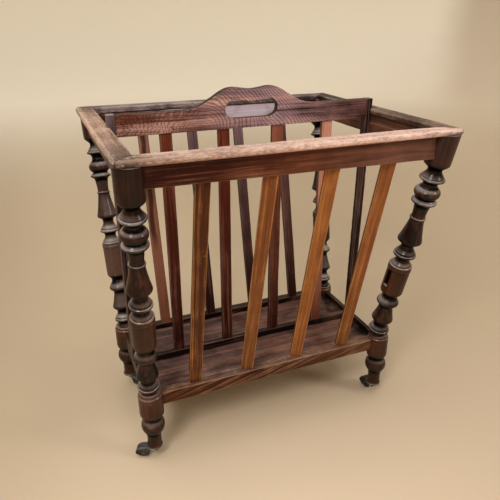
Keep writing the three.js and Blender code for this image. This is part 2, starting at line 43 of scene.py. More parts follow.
CORNERS = {"front_left": (-1, -1), "front_right": (1, -1), "back_left": (-1, 1), "back_right": (1, 1)}

# Lengths in millimetres, the same as in the part's source
FOOT_X, FOOT_Y = 201.5, 97.6
FOOT_BOTTOM, FOOT_TOP = 25.4, 127.0
HEAD_X, HEAD_Y, HEAD_Z = 212.2, 170.7, 472.6
BACK_LEFT_CREEP = 3.6
POST_R, TURNED_LENGTH = 17.5, 328.8
CAP_BOTTOM, CAP_TOP = 487.6, 496.0
CAP_HALF_X, CAP_HALF_Y, CAP_WIDTH = 231.7, 190.2, 26.7
FRIEZE_BOTTOM = 457.6
TRAY_TOP, TRAY_BOTTOM, FLOOR_TOP, FLOOR_BOTTOM = 120.0, 99.0, 109.5, 103.5
BOARD_BOTTOM, STILE_TOP = 481.5, 511.5
SLAT_X = (-129.0, -43.0, 43.0, 129.0)
RAIL_SLAT_Y, FRIEZE_SLAT_Y = 91.2, 167.8
HORN_TOP, WHEEL_R, TRAIL = 22.1, 10.0, 17.0
DRUM_R, MORTISE_HALF, MORTISE_FLOOR, MORTISE_LOW, MORTISE_HIGH = 16.45, 4.5, 9.6, 111.0, 141.0
FRIEZE_STEP, FRIEZE_HALF, FRIEZE_THIN = 474.6, 6.7, 4.9
SIDE_X, TRAY_RAIL_Y = 202.75, 94.3
SILL_HALF, SILL_MIDDLE = 199.5, 114.6
CREST_HALF, CREST_RISE, CREST_DIP = 102, 27.4, 24.2
GRIP_HALF, GRIP_BOTTOM, GRIP_RISE, GRIP_DIP = 41, 495.5, 27.5, 23.1
REST_TURNS = {"front_left": 157, "front_right": 94, "back_left": -52, "back_right": 35}

# Turned outlines from the bottom up: (height, radius) in mm for a straight run, with "bead" and its
# greatest radius for a half-round and with "ball" for a part of a ball
POST_LINE = [
    (0, 12), (3.5, 11), (6, 11), (9, 12.4), (11, 15), (15.2, 15, "bead", 16.1), (15.8, 14.3), (16.4, 14.8),
    (18.5, 14.1), (21, 12.3), (23.5, 10.4), (25.4, 9.6), (28, 9.5), (30.2, 10), (31.8, 11.2), (34.2, 14.4),
    (36.4, 16), (38, 16.2), (39.6, 15.9), (44, 14.6), (50, 13.1), (56, 11.8), (61, 10.7), (64.2, 10.2),
    (67, 10.5), (69.4, 12.2), (71.4, 15.2), (73.2, 16.4), (75, 16.5), (76.8, 16), (80, 14.2), (82.6, 12.2),
    (84.6, 10.8), (87.2, 10.1), (89.8, 10.5), (91.8, 12), (94, 14.2), (96, 15.8), (97.6, 16.35), (99, 16.45),
    (141.8, 16.45), (146.2, 16.5, "bead", 17), (150.6, 16.5), (151.6, 15.6), (152.3, 14.4), (152.9, 14.8),
    (155.4, 12.9), (157.8, 10.9), (160, 9.7), (162.4, 9.3), (165, 9.6), (167.2, 11), (169, 14.2),
    (173.2, 15, "bead", 16.2), (173.8, 14.2), (174.4, 14.6), (176.6, 13.6), (179.4, 11.6), (182.2, 9.8),
    (184.4, 9), (187, 8.8), (190, 9.2), (192.6, 10.6), (194.6, 14.4), (196, 16.5), (197.6, 17.1), (199.4, 16.8),
    (204, 15.5), (210, 14.1), (216, 12.9), (222, 11.7), (228, 10.6), (234, 9.8), (235.8, 9.7),
    (238.8, 9.6, "bead", 11.1), (241, 9.3), (245, 9.2), (250, 9.7), (255, 10.2), (258.6, 10.8), (261.2, 11.8),
    (263.4, 14.8), (267.8, 15, "bead", 16.9), (270, 13.2), (271.6, 11.7), (289, 11.6, "ball", 17.3),
    (291.4, 10.3), (294, 9.8), (296.6, 10), (299, 11.3), (300.8, 14.8), (304.6, 15.4, "bead", 17),
    (305.2, 14.4), (305.8, 14.8), (308, 13.3), (311, 11.1), (313.6, 9.8), (316, 9.5), (318.2, 9.9),
    (320.8, 11.9), (323.4, 14.8), (325.6, 16.8), (327.4, 17.4), (328.8, 17.5),
]
# How thick each post is beside the drawn one, as (height, share), and how far its turned heights have moved
GIRTH = {
    "front_left": ((0, 1.0), (330, 1.01)), "front_right": ((0, 1.1), (330, 1.1)),
    "back_left": ((0, 0.97), (318, 0.975), (330, 1.0)), "back_right": ((0, 1.0), (330, 1.0)),
}
DRIFT = {
    "front_left": ((0, 0), (80, 0.8), (200, -0.6), (330, 0)), "front_right": ((0, 0), (330, 0)),
    "back_left": ((0, 0), (38, -1), (75, -3), (97, -1), (146, 2.2), (175, 2.4), (198, 1.4), (281, 1.0),
                  (304, 2.4), (330, 1.6)),
    "back_right": ((0, 0), (60, -0.8), (170, 1.0), (260, -0.5), (330, 0)),
}
FOOT_LINE = [
    (0, 11.9), (2.0, 11.0), (6.0, 10.7), (18.0, 10.8), (22.0, 11.4), (26.0, 12.6), (29.5, 14.9),
    (50.2, 14.4, "ball", 17.9), (51.4, 13.8), (53.6, 13.6), (55.2, 14.4), (57.6, 16.4), (60.4, 17.9), (63.0, 18.4),
    (91.0, 18.4), (91.8, 17.9), (97.2, 17.8, "bead", 18.5), (97.8, 17.2), (101.6, 16.4),
]
FOOT_GIRTH = {"front_left": 1.0, "front_right": 0.955, "back_left": 0.98, "back_right": 0.98}
# How far two feet stand aside at their bottom and top, and how far one post leans more, as (height, mm)
FOOT_LEAN = {"front_left": (1.7, 1.2), "front_right": (1.4, 0.4)}
LEAN = ((0, -2.3), (75, -2.9), (150, -1.9), (198, -0.9), (250, 0), (300, 1.15), (320, 0.85), (328, 0.05))
# The crest and the hand hole of the board, as shares of their half width and height from the outside in
CREST = [(1, 0), (0.88, 0.06), (0.755, 0.2), (0.603, 0.5), (0.48, 0.78), (0.373, 0.955), (0.265, 1), (0.127, 0.93)]
GRIP = [(0.68, 0), (0.93, 0.18), (1, 0.49), (0.92, 0.8), (0.65, 1), (0.35, 0.92)]

# Turned meshes have this many sides, with their radii a little inside the solid's. Outlines are drawn in
# steps of this many mm, and bars in stations
TURNED_SIDES, INSIDE, STEP, STATION = 72, 0.996, 0.3, 5.0

rng = np.random.default_rng(11)
LATTICE = rng.random((24, 24, 24, 3)) * 2 - 1


def value_noise(points, cell, shift=0.0):
    """Smooth noise in three channels, about -1 to 1, for an (n, 3) array of points."""
    p = np.asarray(points, float) / cell + shift
    base = np.floor(p).astype(int)
    f = p - base
    f = f * f * (3 - 2 * f)
    total = np.zeros((len(p), 3))
    for dx in (0, 1):
        for dy in (0, 1):
            for dz in (0, 1):
                i = (base + (dx, dy, dz)) % 24
                w = abs(1 - dx - f[:, 0]) * abs(1 - dy - f[:, 1]) * abs(1 - dz - f[:, 2])
                total += LATTICE[i[:, 0], i[:, 1], i[:, 2]] * w[:, None]
    return total


def smooth(a, b, x):
    t = np.clip((np.asarray(x, float) - a) / (b - a), 0, 1)
    return t * t * (3 - 2 * t)


def build(name, verts, faces, grain, wear_and_shading, angle=40):
    """A mesh object in world metres, with its wood-grain coordinates and, on the points, a value for wear and for
    painted shade and highlights.
    """
    mesh = bpy.data.meshes.new(name)
    mesh.from_pydata((np.asarray(verts) * MM).tolist(), [], faces)
    mesh.attributes.new("grain", "FLOAT_VECTOR", "POINT").data.foreach_set(
        "vector", (np.asarray(grain, float) * MM).ravel())
    mesh.attributes.new("wear_and_shading", "FLOAT", "POINT").data.foreach_set("value", np.asarray(wear_and_shading, float))
    mesh.polygons.foreach_set("use_smooth", [True] * len(faces))
    mesh.set_sharp_from_angle(angle=math.radians(angle))
    obj = bpy.data.objects.new(name, mesh)
    bpy.context.scene.collection.objects.link(obj)
    return obj


def apply_all(obj):
    """Keeps the result of the modifiers in the mesh."""
    graph = bpy.context.evaluated_depsgraph_get()
    mesh = bpy.data.meshes.new_from_object(obj.evaluated_get(graph), preserve_all_data_layers=True, depsgraph=graph)
    obj.modifiers.clear()
    old = obj.data
    obj.data = mesh
    bpy.data.meshes.remove(old)
    mesh.name = obj.name


def dress(node, finish, material, verts, faces, grain, wear_and_shading, angle, body="carcass", weigh=True):
    """The finished piece in place of a node, with its normals weighted by face area."""
    obj = build(f"{node}_{finish}", verts, faces, grain, wear_and_shading, angle)
    if weigh:
        obj.modifiers.new("normals", "WEIGHTED_NORMAL").keep_sharp = True
        apply_all(obj)
    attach(obj, body)
    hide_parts(node)
    obj.data.materials.clear()
    obj.data.materials.append(material)


# ---------------------------------------------------------------- materials

def srgb(*rgb):
    """A shader colour from 0 to 255 values."""
    shares = [c / 255 for c in rgb]
    return (*(c / 12.92 if c <= 0.04045 else ((c + 0.055) / 1.055) ** 2.4 for c in shares), 1.0)


def scaled(rgb, share):
    return tuple(c * share for c in rgb)


class Value:
    """A node's output. Arithmetic on it adds math nodes."""

    def __init__(self, graph, socket):
        self.graph, self.socket = graph, socket

    def __add__(self, other):
        return self.graph.math("ADD", self, other)

    def __sub__(self, other):
        return self.graph.math("SUBTRACT", self, other)

    def __rsub__(self, other):
        return self.graph.math("SUBTRACT", other, self)

    def __mul__(self, other):
        return self.graph.math("MULTIPLY", self, other)

    def __truediv__(self, other):
        return self.graph.math("DIVIDE", self, other)


class Graph:
    """A short way to write a material's nodes."""

    def __init__(self, name):
        self.mat = bpy.data.materials.new(name)
        self.mat.use_nodes = True
        self.tree = self.mat.node_tree
        self.tree.nodes.clear()
        out = self.node("OutputMaterial")
        self.bsdf = self.node("BsdfPrincipled")
        self.tree.links.new(self.bsdf.outputs[0], out.inputs[0])

    def node(self, kind, *inputs, **settings):
        """A new node with its settings, and with values for its first inputs."""
        n = self.tree.nodes.new("ShaderNode" + kind)
        for key, value in settings.items():
            setattr(n, key, value)
        for socket, value in zip(n.inputs, inputs):
            self.put(socket, value)
        return n

    def put(self, socket, value):
        if isinstance(value, Value):
            self.tree.links.new(value.socket, socket)
        else:
            socket.default_value = value

    def surface(self, **values):
        """Values for the shader's sockets, written with _ for a space."""
        for key, value in values.items():
            self.put(self.bsdf.inputs[key.replace("_", " ")], value)

    def attr(self, name, output):
        return Value(self, self.node("Attribute", attribute_name=name).outputs[output])

    def geometry(self, output):
        return Value(self, self.node("NewGeometry").outputs[output])

    def math(self, operation, *inputs):
        return Value(self, self.node("Math", *inputs, operation=operation).outputs[0])

    def vec(self, operation, a, b):
        return Value(self, self.node("VectorMath", a, b, operation=operation).outputs[0])

    def length(self, a, b):
        return self.math("SQRT", a * a + b * b)

    def split(self, vector):
        return [Value(self, out) for out in self.node("SeparateXYZ", vector).outputs]

    def noise(self, vector, cells, detail=2.0, rough=0.5, output="Fac"):
        """Noise with this many cells in a metre, the same on all axes or one number for each."""
        n = self.node("TexNoise", self.vec("MULTIPLY", vector, cells if isinstance(cells, tuple) else (cells,) * 3))
        for key, value in (("Scale", 1.0), ("Detail", detail), ("Roughness", rough)):
            n.inputs[key].default_value = value
        return Value(self, n.outputs[output])

    def span(self, value, a, b, c=0.0, d=1.0, soft=True):
        kind = "SMOOTHSTEP" if soft else "LINEAR"
        return Value(self, self.node("MapRange", value, a, b, c, d, interpolation_type=kind).outputs[0])

    def ramp(self, share, stops):
        n = self.node("ValToRGB", share)
        items = n.color_ramp.elements
        items[0].position, items[0].color = stops[0]
        items[1].position, items[1].color = stops[-1]
        for position, colour in stops[1:-1]:
            items.new(position).color = colour
        return Value(self, n.outputs[0])

    def mix(self, share, a, b):
        """From one colour to another, each a value or 0 to 255 numbers."""
        n = self.node("Mix", share, data_type="RGBA")
        for socket, colour in zip(n.inputs[6:8], (a, b)):
            self.put(socket, colour if isinstance(colour, Value) else srgb(*colour))
        return Value(self, n.outputs[2])

    def bump(self, height, distance, strength):
        n = self.node("Bump")
        for key, value in (("Strength", strength), ("Distance", distance), ("Height", height)):
            self.put(n.inputs[key], value)
        self.surface(Normal=Value(self, n.outputs[0]))


def straight_rings(g, x, y, z, moved, wave, pith):
    """Distance from the pith, whose place beside the piece is given in mm."""
    return g.length(y - pith[0] * MM, z - pith[1] * MM) + wave * 0.008


def board_rings(g, x, y, z, moved, wave, pith):
    """Rings left of the hand hole that fall away to the right, with a restless left third."""
    radius = g.length((x + 0.082) * 0.74, y + 0.014)
    curl = g.noise(moved, (34, 60, 20), 3.0, 0.55) * g.span(x, -0.06, -0.12, 0.006, 0.024)
    fall = g.span(x, -0.03, 0.17, 0.0, 1.2, soft=False) * y
    return radius + curl + fall + g.noise(moved, 24) * 0.012


def wood(name, tones, dark, light, rim, dirt_and_shade, seed, length, pith=(0.0, 0.0), rings=straight_rings, ring=3.2,
         ring_mix=0.1, streak=0.3, blotch=0.5, speck=0.0, pore_mix=0.5, rim_mix=0.4, dirt_and_shade_mix=0.9, dust_and_sheen=None,
         dust_and_sheen_mix=0.0, under=0.0, stain=None, stain_mix=0.0, vein=None, scratch=0.5, rough=0.42, coat=0.05,
         coat_rough=0.35, specular=0.12, bump=0.5):
    """Wood in its own grain coordinates: x runs along the piece. Tones are (share of the length, r, g, b)."""
    g = Graph(name)
    p = g.attr("grain", "Vector")
    moved = g.vec("ADD", p, (seed * 0.37, seed * 0.113, seed * 0.071))
    x, y, z = g.split(p)
    # slow drift of the fibres
    drift = g.vec("SUBTRACT", g.noise(moved, (9, 30, 30), output="Color"), (0.5, 0.5, 0.5))
    q = g.vec("ADD", moved, g.vec("MULTIPLY", drift, (0.0, 0.006, 0.006)))
    broad = g.noise(q, (5, 60, 60), 2.0, 0.55)
    fibre = g.noise(q, (8, 520, 520), 4.0, 0.66)
    middle = g.noise(q, (5, 240, 240), 3.0, 0.6)
    fine = g.noise(q, (60, 800, 800), 3.0, 0.65)
    wave = g.noise(moved, (13, 22, 22), 3.0, 0.5)
    patch = g.noise(g.vec("ADD", moved, (3.1, 1.7, 0.4)), 26, 4.0, 0.6)
    patchy = patch - 0.5
    # growth rings, dark towards the end of each year
    radius = rings(g, x, y, z, moved, wave, pith)
    turn = g.math("FRACT", radius / (ring * MM))
    late = g.span(turn, 0.4, 0.86) * g.span(turn, 1.0, 0.92) * g.span(broad, 0.25, 0.6, 0.45, 1.0)
    if rings is board_rings:
        late = late * g.span(radius, 0.016, 0.04, 0.2, 1.0)
    # colour: the tone at this place along the piece, pushed towards the dark or the light one
    share = g.span(x, -length / 2 * MM, length / 2 * MM, soft=False)
    tone = g.ramp(share, [(s, srgb(*c)) for s, *c in tones])
    push = (fibre - 0.5) * (1.9 * streak) + (middle - 0.5) * (1.7 * streak)
    push = push + (broad - 0.5) * (1.2 * blotch) + patchy * (0.8 * blotch)
    if speck:
        push = push + (g.noise(moved, (190, 420, 420), 4.0, 0.75) - 0.5) * (2.2 * speck)
    colour = g.mix(g.span(push, 0.0, 0.5, soft=False), tone, light)
    colour = g.mix(g.span(push, 0.0, -0.5, soft=False), colour, dark)
    colour = g.mix(late * ring_mix, colour, dark)
    pores = g.span(fine, 0.6, 0.72)
    deep = scaled(dark, 0.45)
    colour = g.mix(pores * pore_mix, colour, deep)
    if stain:
        spots = g.noise(moved, (40, 75, 75), 5.0, 0.68)
        colour = g.mix(g.span(spots, 0.52, 0.66) * stain_mix, colour, stain)
    if vein:
        place_across, half_width, start, end = vein
        aside = g.math("ABSOLUTE", y + wave * 0.012 - (place_across + 6) * MM)
        band = g.span(aside, half_width * MM, half_width * 0.4 * MM) * g.span(share, start, end)
        colour = g.mix(band * 0.8, colour, dark)
    # dirt and painted shade in the hollows, rubbed edges with painted highlights, dust and a painted sheen on top,
    # and painted shade underneath
    wear_and_shading = g.attr("wear_and_shading", "Fac")
    # low mask: real dirt, and painted shade in the necks, on undersides and on shaded faces
    low = g.span(wear_and_shading + patchy * 0.5, 0.42, 0.12)
    # high mask: rubbed edges, and on the turned pieces and the back frieze a painted highlight and sheen
    high = g.span(wear_and_shading + patchy * 0.8, 0.6, 0.95)
    clear_of_dirt_and_shade = 1.0 - low
    colour = g.mix(low * dirt_and_shade_mix, colour, dirt_and_shade)
    colour = g.mix(high * rim_mix, colour, rim)
    roughness = (fibre - 0.5) * 0.25 + rough + patchy * 0.22
    if dust_and_sheen:
        facing = g.split(g.geometry("Normal"))[2]
        # painted shade on the faces that look down
        if under:
            colour = g.mix(g.span(facing, 0.05, -0.5) * under, colour, deep)
        # up-facing faces get the dust colour: real dust, and on the turned pieces mostly a painted sheen of the light
        # from above
        cover = g.span(facing, 0.2, 0.9) * g.span(patch, 0.3, 0.62, 0.35, 1.0) * g.span(fine, 0.3, 0.7, 0.7, 1.0)
        cover = cover * dust_and_sheen_mix * clear_of_dirt_and_shade
        colour = g.mix(cover, colour, dust_and_sheen)
        roughness = roughness + cover * 0.25
    height = fibre * 0.6 + pores * -0.45 + patch * 0.5
    if scratch:
        askew = Value(g, g.node("CombineXYZ", x + y * 0.35, y, z).outputs[0])
        cut = g.span(g.noise(askew, (22, 900, 300), 1.0, 0.4), 0.70, 0.76) * g.span(patch, 0.45, 0.6)
        colour = g.mix(cut * scratch, colour, light)
        chips = g.span(g.noise(moved, (170, 430, 430), 2.0, 0.6), 0.70, 0.78) * g.span(patch, 0.42, 0.6)
        colour = g.mix(chips * scratch, colour, tuple(c * 0.5 + 90 for c in light))
        height = height - cut * 0.8
    g.surface(Base_Color=colour, Roughness=roughness, Coat_Weight=clear_of_dirt_and_shade * coat, Coat_Roughness=coat_rough,
              Specular_IOR_Level=specular)
    g.bump(height, 0.0003, bump)
    return g.mat


def metal(name, base, dark, light, rough, metallic, seed=0.0):
    """Old iron: dull, pitted, with rubbed edges and dirt in the hollows; on the caster horns the same marks paint a
    highlight on top and shade on the cheeks.
    """
    g = Graph(name)
    p = g.vec("ADD", g.attr("grain", "Vector"), (seed, seed * 0.7, 0.3))
    soot = g.noise(p, 90, 5.0, 0.65)
    pits = g.noise(p, 420, 4.0, 0.6)
    colour = g.mix(g.span(soot, 0.35, 0.65), base, dark)
    colour = g.mix(g.span(pits, 0.6, 0.75, 0.0, 0.6), colour, scaled(dark, 0.5))
    wear_and_shading = g.attr("wear_and_shading", "Fac")
    colour = g.mix(g.span(wear_and_shading + (soot - 0.5) * 0.7, 0.6, 0.95, 0.0, 0.5), colour, light)
    colour = g.mix(g.span(wear_and_shading, 0.4, 0.1, 0.0, 0.8), colour, scaled(dark, 0.4))
    g.surface(Base_Color=colour, Roughness=(pits - 0.5) * 0.4 + rough, Metallic=metallic)
    g.bump(soot + pits * 0.6, 0.0004, 0.5)
    return g.mat


# ---------------------------------------------------------------- turned pieces

def tube_faces(rings, sides):
    """Faces of a closed tube with this many points on each ring: its sides, then its two ends."""
    faces = []
    for i in range(rings - 1):
        for j in range(sides):
            k = (j + 1) % sides
            faces.append((i * sides + j, i * sides + k, (i + 1) * sides + k, (i + 1) * sides + j))
    faces.append(tuple(range(sides - 1, -1, -1)))
    faces.append(tuple((rings - 1) * sides + j for j in range(sides)))
    return faces


def about_z(degrees):
    """The matrix of a turn about Z."""
    a = math.radians(degrees)
    return np.array([[math.cos(a), -math.sin(a), 0], [math.sin(a), math.cos(a), 0], [0, 0, 1.0]])


def around(sides):
    """Angles of evenly spread sides."""
    return np.arange(sides) / sides * 2 * math.pi


def blurred(values, reach, spread, **padding):
    """Values that stand STEP apart, blurred with a bell of this spread in mm."""
    bell = np.exp(-0.5 * (np.arange(-reach, reach + 1) * STEP / spread) ** 2)
    return np.convolve(np.pad(values, reach, **padding), bell / bell.sum(), mode="valid")


def outline(line):
    """The turned outline as dense heights and radii with softened corners, and each point's value for wear and
    painted shade.
    """
    points = [(line[0][1], line[0][0])]
    for z1, r1, *kind in line[1:]:
        r0, z0 = points[-1]
        count = 24 if kind else max(1, int(math.hypot(z1 - z0, r1 - r0) / 0.5))
        for i in range(1, count + 1):
            s = i / count
            if not kind:
                points.append((r0 + (r1 - r0) * s, z0 + (z1 - z0) * s))
            elif kind[0] == "bead":
                base = r0 + (r1 - r0) * s
                along = (1 - math.cos(s * math.pi)) / 2
                points.append((base + (kind[1] - base) * math.sin(s * math.pi), z0 + (z1 - z0) * along))
            else:
                low, high = math.asin(-math.sqrt(1 - (r0 / kind[1]) ** 2)), math.acos(r1 / kind[1])
                turn = low + (high - low) * s
                along = (math.sin(turn) - math.sin(low)) / (math.sin(high) - math.sin(low))
                points.append((kind[1] * math.cos(turn), z0 + (z1 - z0) * along))
    points = np.array(points)
    path = np.concatenate([[0], np.cumsum(np.hypot(*np.diff(points, axis=0).T))])
    even = np.arange(0, path[-1], STEP)
    r = blurred(np.interp(even, path, points[:, 0]), 3, 0.2, mode="edge")
    z = blurred(np.interp(even, path, points[:, 1]), 3, 0.2, mode="reflect", reflect_type="odd")
    # rims come out high and hollows low: rubbed rims with a painted highlight, dark hollows
    wear_and_shading = np.clip(0.5 + (r - blurred(r, 16, 1.9, mode="edge")) / 1.5 * 0.5, 0, 1)
    # painted shade, with some dirt, in the necks and on the undersides that face down
    near = np.array([r[max(0, i - 22):i + 23].max() for i in range(len(r))])
    wear_and_shading -= 0.45 * np.clip((near - r - 1.5) / 5, 0, 1) + 0.36 * np.clip(np.gradient(r, STEP), 0, 1)
    keep = thin(np.stack([r, z], 1), 0.03)
    return r[keep], z[keep], np.clip(wear_and_shading, 0, 1)[keep]


def thin(points, tolerance):
    """Indices that keep a line within the tolerance, with no step over 4 mm."""
    keep = {0, len(points) - 1}
    stack = [(0, len(points) - 1)]
    while stack:
        a, b = stack.pop()
        if b - a < 2:
            continue
        pa, pb = points[a], points[b]
        d = pb - pa
        n = np.hypot(*d) or 1.0
        off = abs((points[a:b + 1, 0] - pa[0]) * d[1] - (points[a:b + 1, 1] - pa[1]) * d[0]) / n
        i = int(off.argmax()) + a
        if off.max() <= tolerance:
            if n <= 4:
                continue
            i = (a + b) // 2
        keep.add(i)
        stack += [(a, i), (i, b)]
    return np.array(sorted(keep))


def lathe(r, z, wear_and_shading, angles):
    """Local points, faces and wear of a turned body with closed flat ends."""
    m = len(angles)
    columns = np.outer(r, np.cos(angles)), np.outer(r, np.sin(angles)), np.repeat(z[:, None], m, 1)
    return np.stack(columns, -1).reshape(-1, 3), tube_faces(len(r), m), np.repeat(wear_and_shading, m)


def turned_wood(name, material, verts, faces, wear_shading, middle, flatness, world_of):
    """A turned post or foot: never quite round, with its grain along its own axis."""
    cell, low_share, shift, most, depth = flatness
    grain = verts[:, [2, 0, 1]] - (middle, 0, 0)
    flat = value_noise(verts * (1, 1, low_share), cell, shift)
    verts[:, :2] *= 1 + np.clip(flat[:, :1], -1, most) * depth
    dress(name, "turned", material, world_of(verts), faces, grain, wear_shading, 50, weigh=False)


def cut_mortise(r, z, wear_and_shading):
    """More points round the old empty mortise of the front right post."""
    half = math.asin(MORTISE_HALF / (DRUM_R * GIRTH["front_right"][0][1]))
    angles = around(TURNED_SIDES)
    extra = [math.pi - half, math.pi - half + 0.012, math.pi + half - 0.012, math.pi + half]
    angles = np.sort(np.concatenate([angles[abs(abs(angles - math.pi) - half) > 0.03], extra]))
    levels = np.array([MORTISE_LOW, MORTISE_LOW + 0.2, 126.0, MORTISE_HIGH - 0.2, MORTISE_HIGH])
    order = np.argsort(np.concatenate([z, levels]), kind="stable")
    r, wear_and_shading, z = (np.concatenate([row, np.interp(levels, z, row)])[order] for row in (r, wear_and_shading, z))
    return r, z, wear_and_shading, angles, half


def make_post(name, material):
    sx, sy = CORNERS[name]
    head_x = HEAD_X - (BACK_LEFT_CREEP if name == "back_left" else 0)
    low = np.array([sx * FOOT_X, sy * FOOT_Y, FOOT_TOP])
    high = np.array([sx * head_x, sy * HEAD_Y, HEAD_Z])
    axis = (high - low) / np.linalg.norm(high - low)
    turn = np.array(Vector((0, 0, 1)).rotation_difference(Vector(axis)).to_matrix())
    r, z, wear_and_shading = outline(POST_LINE)
    # the block under the cap, and a root inside the foot
    top = np.arange(TURNED_LENGTH + 4, 382, 4.0)
    r = np.concatenate([[r[0]], r, np.full(len(top), POST_R)])
    z = np.concatenate([[-8.0], z, top])
    wear_and_shading = np.concatenate([[0.3], wear_and_shading, np.full(len(top), 0.5)])
    r = r * np.interp(z, *zip(*GIRTH[name])) * INSIDE
    z = z + np.interp(z, *zip(*DRIFT[name]))
    angles, old = around(TURNED_SIDES), name == "front_right"
    if old:
        r, z, wear_and_shading, angles, half = cut_mortise(r, z, wear_and_shading)
    verts, faces, wear_shading = lathe(r, z, wear_and_shading, angles)

    def world_of(verts):
        if old:
            aside = math.pi - abs(np.arctan2(verts[:, 1], verts[:, 0]))
            inside = (aside <= half - 0.006) & (abs(verts[:, 2] - 126) < 14.9)
            verts[inside, 0] = -MORTISE_FLOOR
            wear_shading[inside] = 0.0
        world = verts @ turn.T + low
        world += axis * np.clip((CAP_BOTTOM - world[:, 2]) / axis[2], None, 0)[:, None]
        world += axis * np.clip((FOOT_TOP - 0.4 - world[:, 2]) / axis[2], 0, None)[:, None]
        if old:
            # this one leans a little more than its foot and head would have it
            world[:, :2] += np.outer(np.interp(verts[:, 2], *zip(*LEAN)), (0.78, -0.62))
        return world

    flatness = (17.0, 0.25, sx + sy * 2 + 5.3, 0.1, 0.010)
    turned_wood(f"post_{name}", material, verts, faces, wear_shading, 180, flatness, world_of)


def make_foot(name, material):
    sx, sy = CORNERS[name]
    r, z, wear_and_shading = outline(FOOT_LINE)
    r = r * np.where(z < 52, 1.0, FOOT_GIRTH[name]) * INSIDE
    verts, faces, wear_shading = lathe(r, z, wear_and_shading, around(TURNED_SIDES))

    def world_of(verts):
        world = verts + (sx * FOOT_X, sy * FOOT_Y, FOOT_BOTTOM)
        world[:, 0] += np.interp(verts[:, 2], (0, 100), FOOT_LEAN.get(name, (0, 0)))
        return world

    flatness = (19.0, 0.3, sx * 2 + sy + 9.1, 0.2, 0.008)
    turned_wood(f"foot_{name}", material, verts, faces, wear_shading, 50, flatness, world_of)


# ---------------------------------------------------------------- sawn pieces

def rounded(corners, radius, steps=3):
    """A closed section from its corners, each eased by a radius. Gives points and their wear."""
    points, wear_and_shading = [], []
    count = len(corners)

    def beside(p, towards, distances):
        room = np.linalg.norm(towards - p)
        for d in distances:
            if room > reach * 2 + d * 2.5:
                points.append(p + (towards - p) / room * (reach + d))
                wear_and_shading.append(0.5 if d > 1 else 0.62)

    for i in range(count):
        p, a, b = (np.array(corners[k % count], float) for k in (i, i - 1, i + 1))
        ua, ub = (a - p) / np.linalg.norm(a - p), (b - p) / np.linalg.norm(b - p)
        rad = radius[i] if isinstance(radius, (list, tuple)) else radius
        half = math.acos(np.clip(ua @ ub, -1, 1)) / 2
        reach = rad / math.tan(half)
        centre = p + (ua + ub) / np.linalg.norm(ua + ub) * rad / math.sin(half)
        v0, v1 = p + ua * reach - centre, p + ub * reach - centre
        beside(p, a, (2.2, 0.5))
        for k in range(steps + 1):
            t = k / steps
            v = v0 * (1 - t) + v1 * t
            points.append(centre + v / np.linalg.norm(v) * rad)
            wear_and_shading.append(0.8 + 0.2 * math.sin(math.pi * t))
        beside(p, b, (0.5, 2.2))
    return np.array(points), np.array(wear_and_shading)


def sweep(stations, section, wear_and_shading, shape=None):
    """Rings of a section along stations. Each station is (origin, across, up) as arrays in mm."""
    verts = []
    for k, (origin, across, up) in enumerate(stations):
        s = section if shape is None else shape(section, k)
        verts.append(origin + s[:, :1] * across + s[:, 1:2] * up)
    return np.concatenate(verts), tube_faces(len(stations), len(section)), np.tile(wear_and_shading, len(stations))


def swept_grain(shares, length, across, up):
    """Grain places of a sweep: along it, and in its section's two directions."""
    rings = len(shares)
    return np.stack([np.repeat(shares * length - length / 2, len(up)), np.tile(across, rings), np.tile(up, rings)], 1)


def age(verts, centre, wear_shading, seed, nick=0.5, wave=0.25):
    """Gentle waves over the whole piece and small nicks along its worn edges."""
    slow = value_noise(verts, 55.0, seed)
    quick = value_noise(verts, 6.5, seed + 4.2)[:, :1]
    inward = centre - verts
    inward /= np.maximum(np.linalg.norm(inward, axis=1), 1e-6)[:, None]
    edge = np.clip((wear_shading - 0.7) / 0.3, 0, 1)[:, None]
    return verts + slow * wave + inward * edge * np.clip(quick - 0.1, 0, 1) * nick


def make_bar(node, slot, material, a, b, across, up, size, radius, seed, twist=0.0, taper=1.0, nick=0.6, wave=0.2,
             offset=(0.0, 0.0), side=0.5, slant=0.0):
    """A straight bar from a to b with a rounded section, sized across by up."""
    a, b, across, up = (np.array(v, float) for v in (a, b, across, up))
    length = np.linalg.norm(b - a)
    shares = np.linspace(0, 1, max(2, int(length / STATION)) + 1)
    hw, hh = size[0] / 2, size[1] / 2
    corners = [(-hw, -hh), (hw, -hh), (hw, hh), (-hw, hh)]
    if np.cross(across, up) @ (b - a) < 0:
        corners = [corners[0], *corners[:0:-1]]
    section, wear_and_shading = rounded(corners, radius)
    # the side faces take the value side; a low one, as on the slats, paints them dark: painted shade on their sides
    wear_and_shading = np.where((abs(section[:, 0]) > hw - 0.05) & (wear_and_shading < 0.7), side, wear_and_shading)
    turn = math.radians(twist)
    u = across * math.cos(turn) + up * math.sin(turn)
    v = up * math.cos(turn) - across * math.sin(turn)
    stations = [(a + (b - a) * s, u * np.interp(s, (0, 1), (taper, 1.0)), v) for s in shares]
    verts, faces, wear_shading = sweep(stations, section, wear_and_shading)
    centre = np.repeat([s[0] for s in stations], len(section), 0)
    grain = swept_grain(shares, length, section[:, 0] + offset[0], section[:, 1] + offset[1])
    grain[:, 2] -= grain[:, 0] * slant
    dress(node, "sawn", material, age(verts, centre, wear_shading, seed, nick, wave), faces, grain, wear_shading, 30)


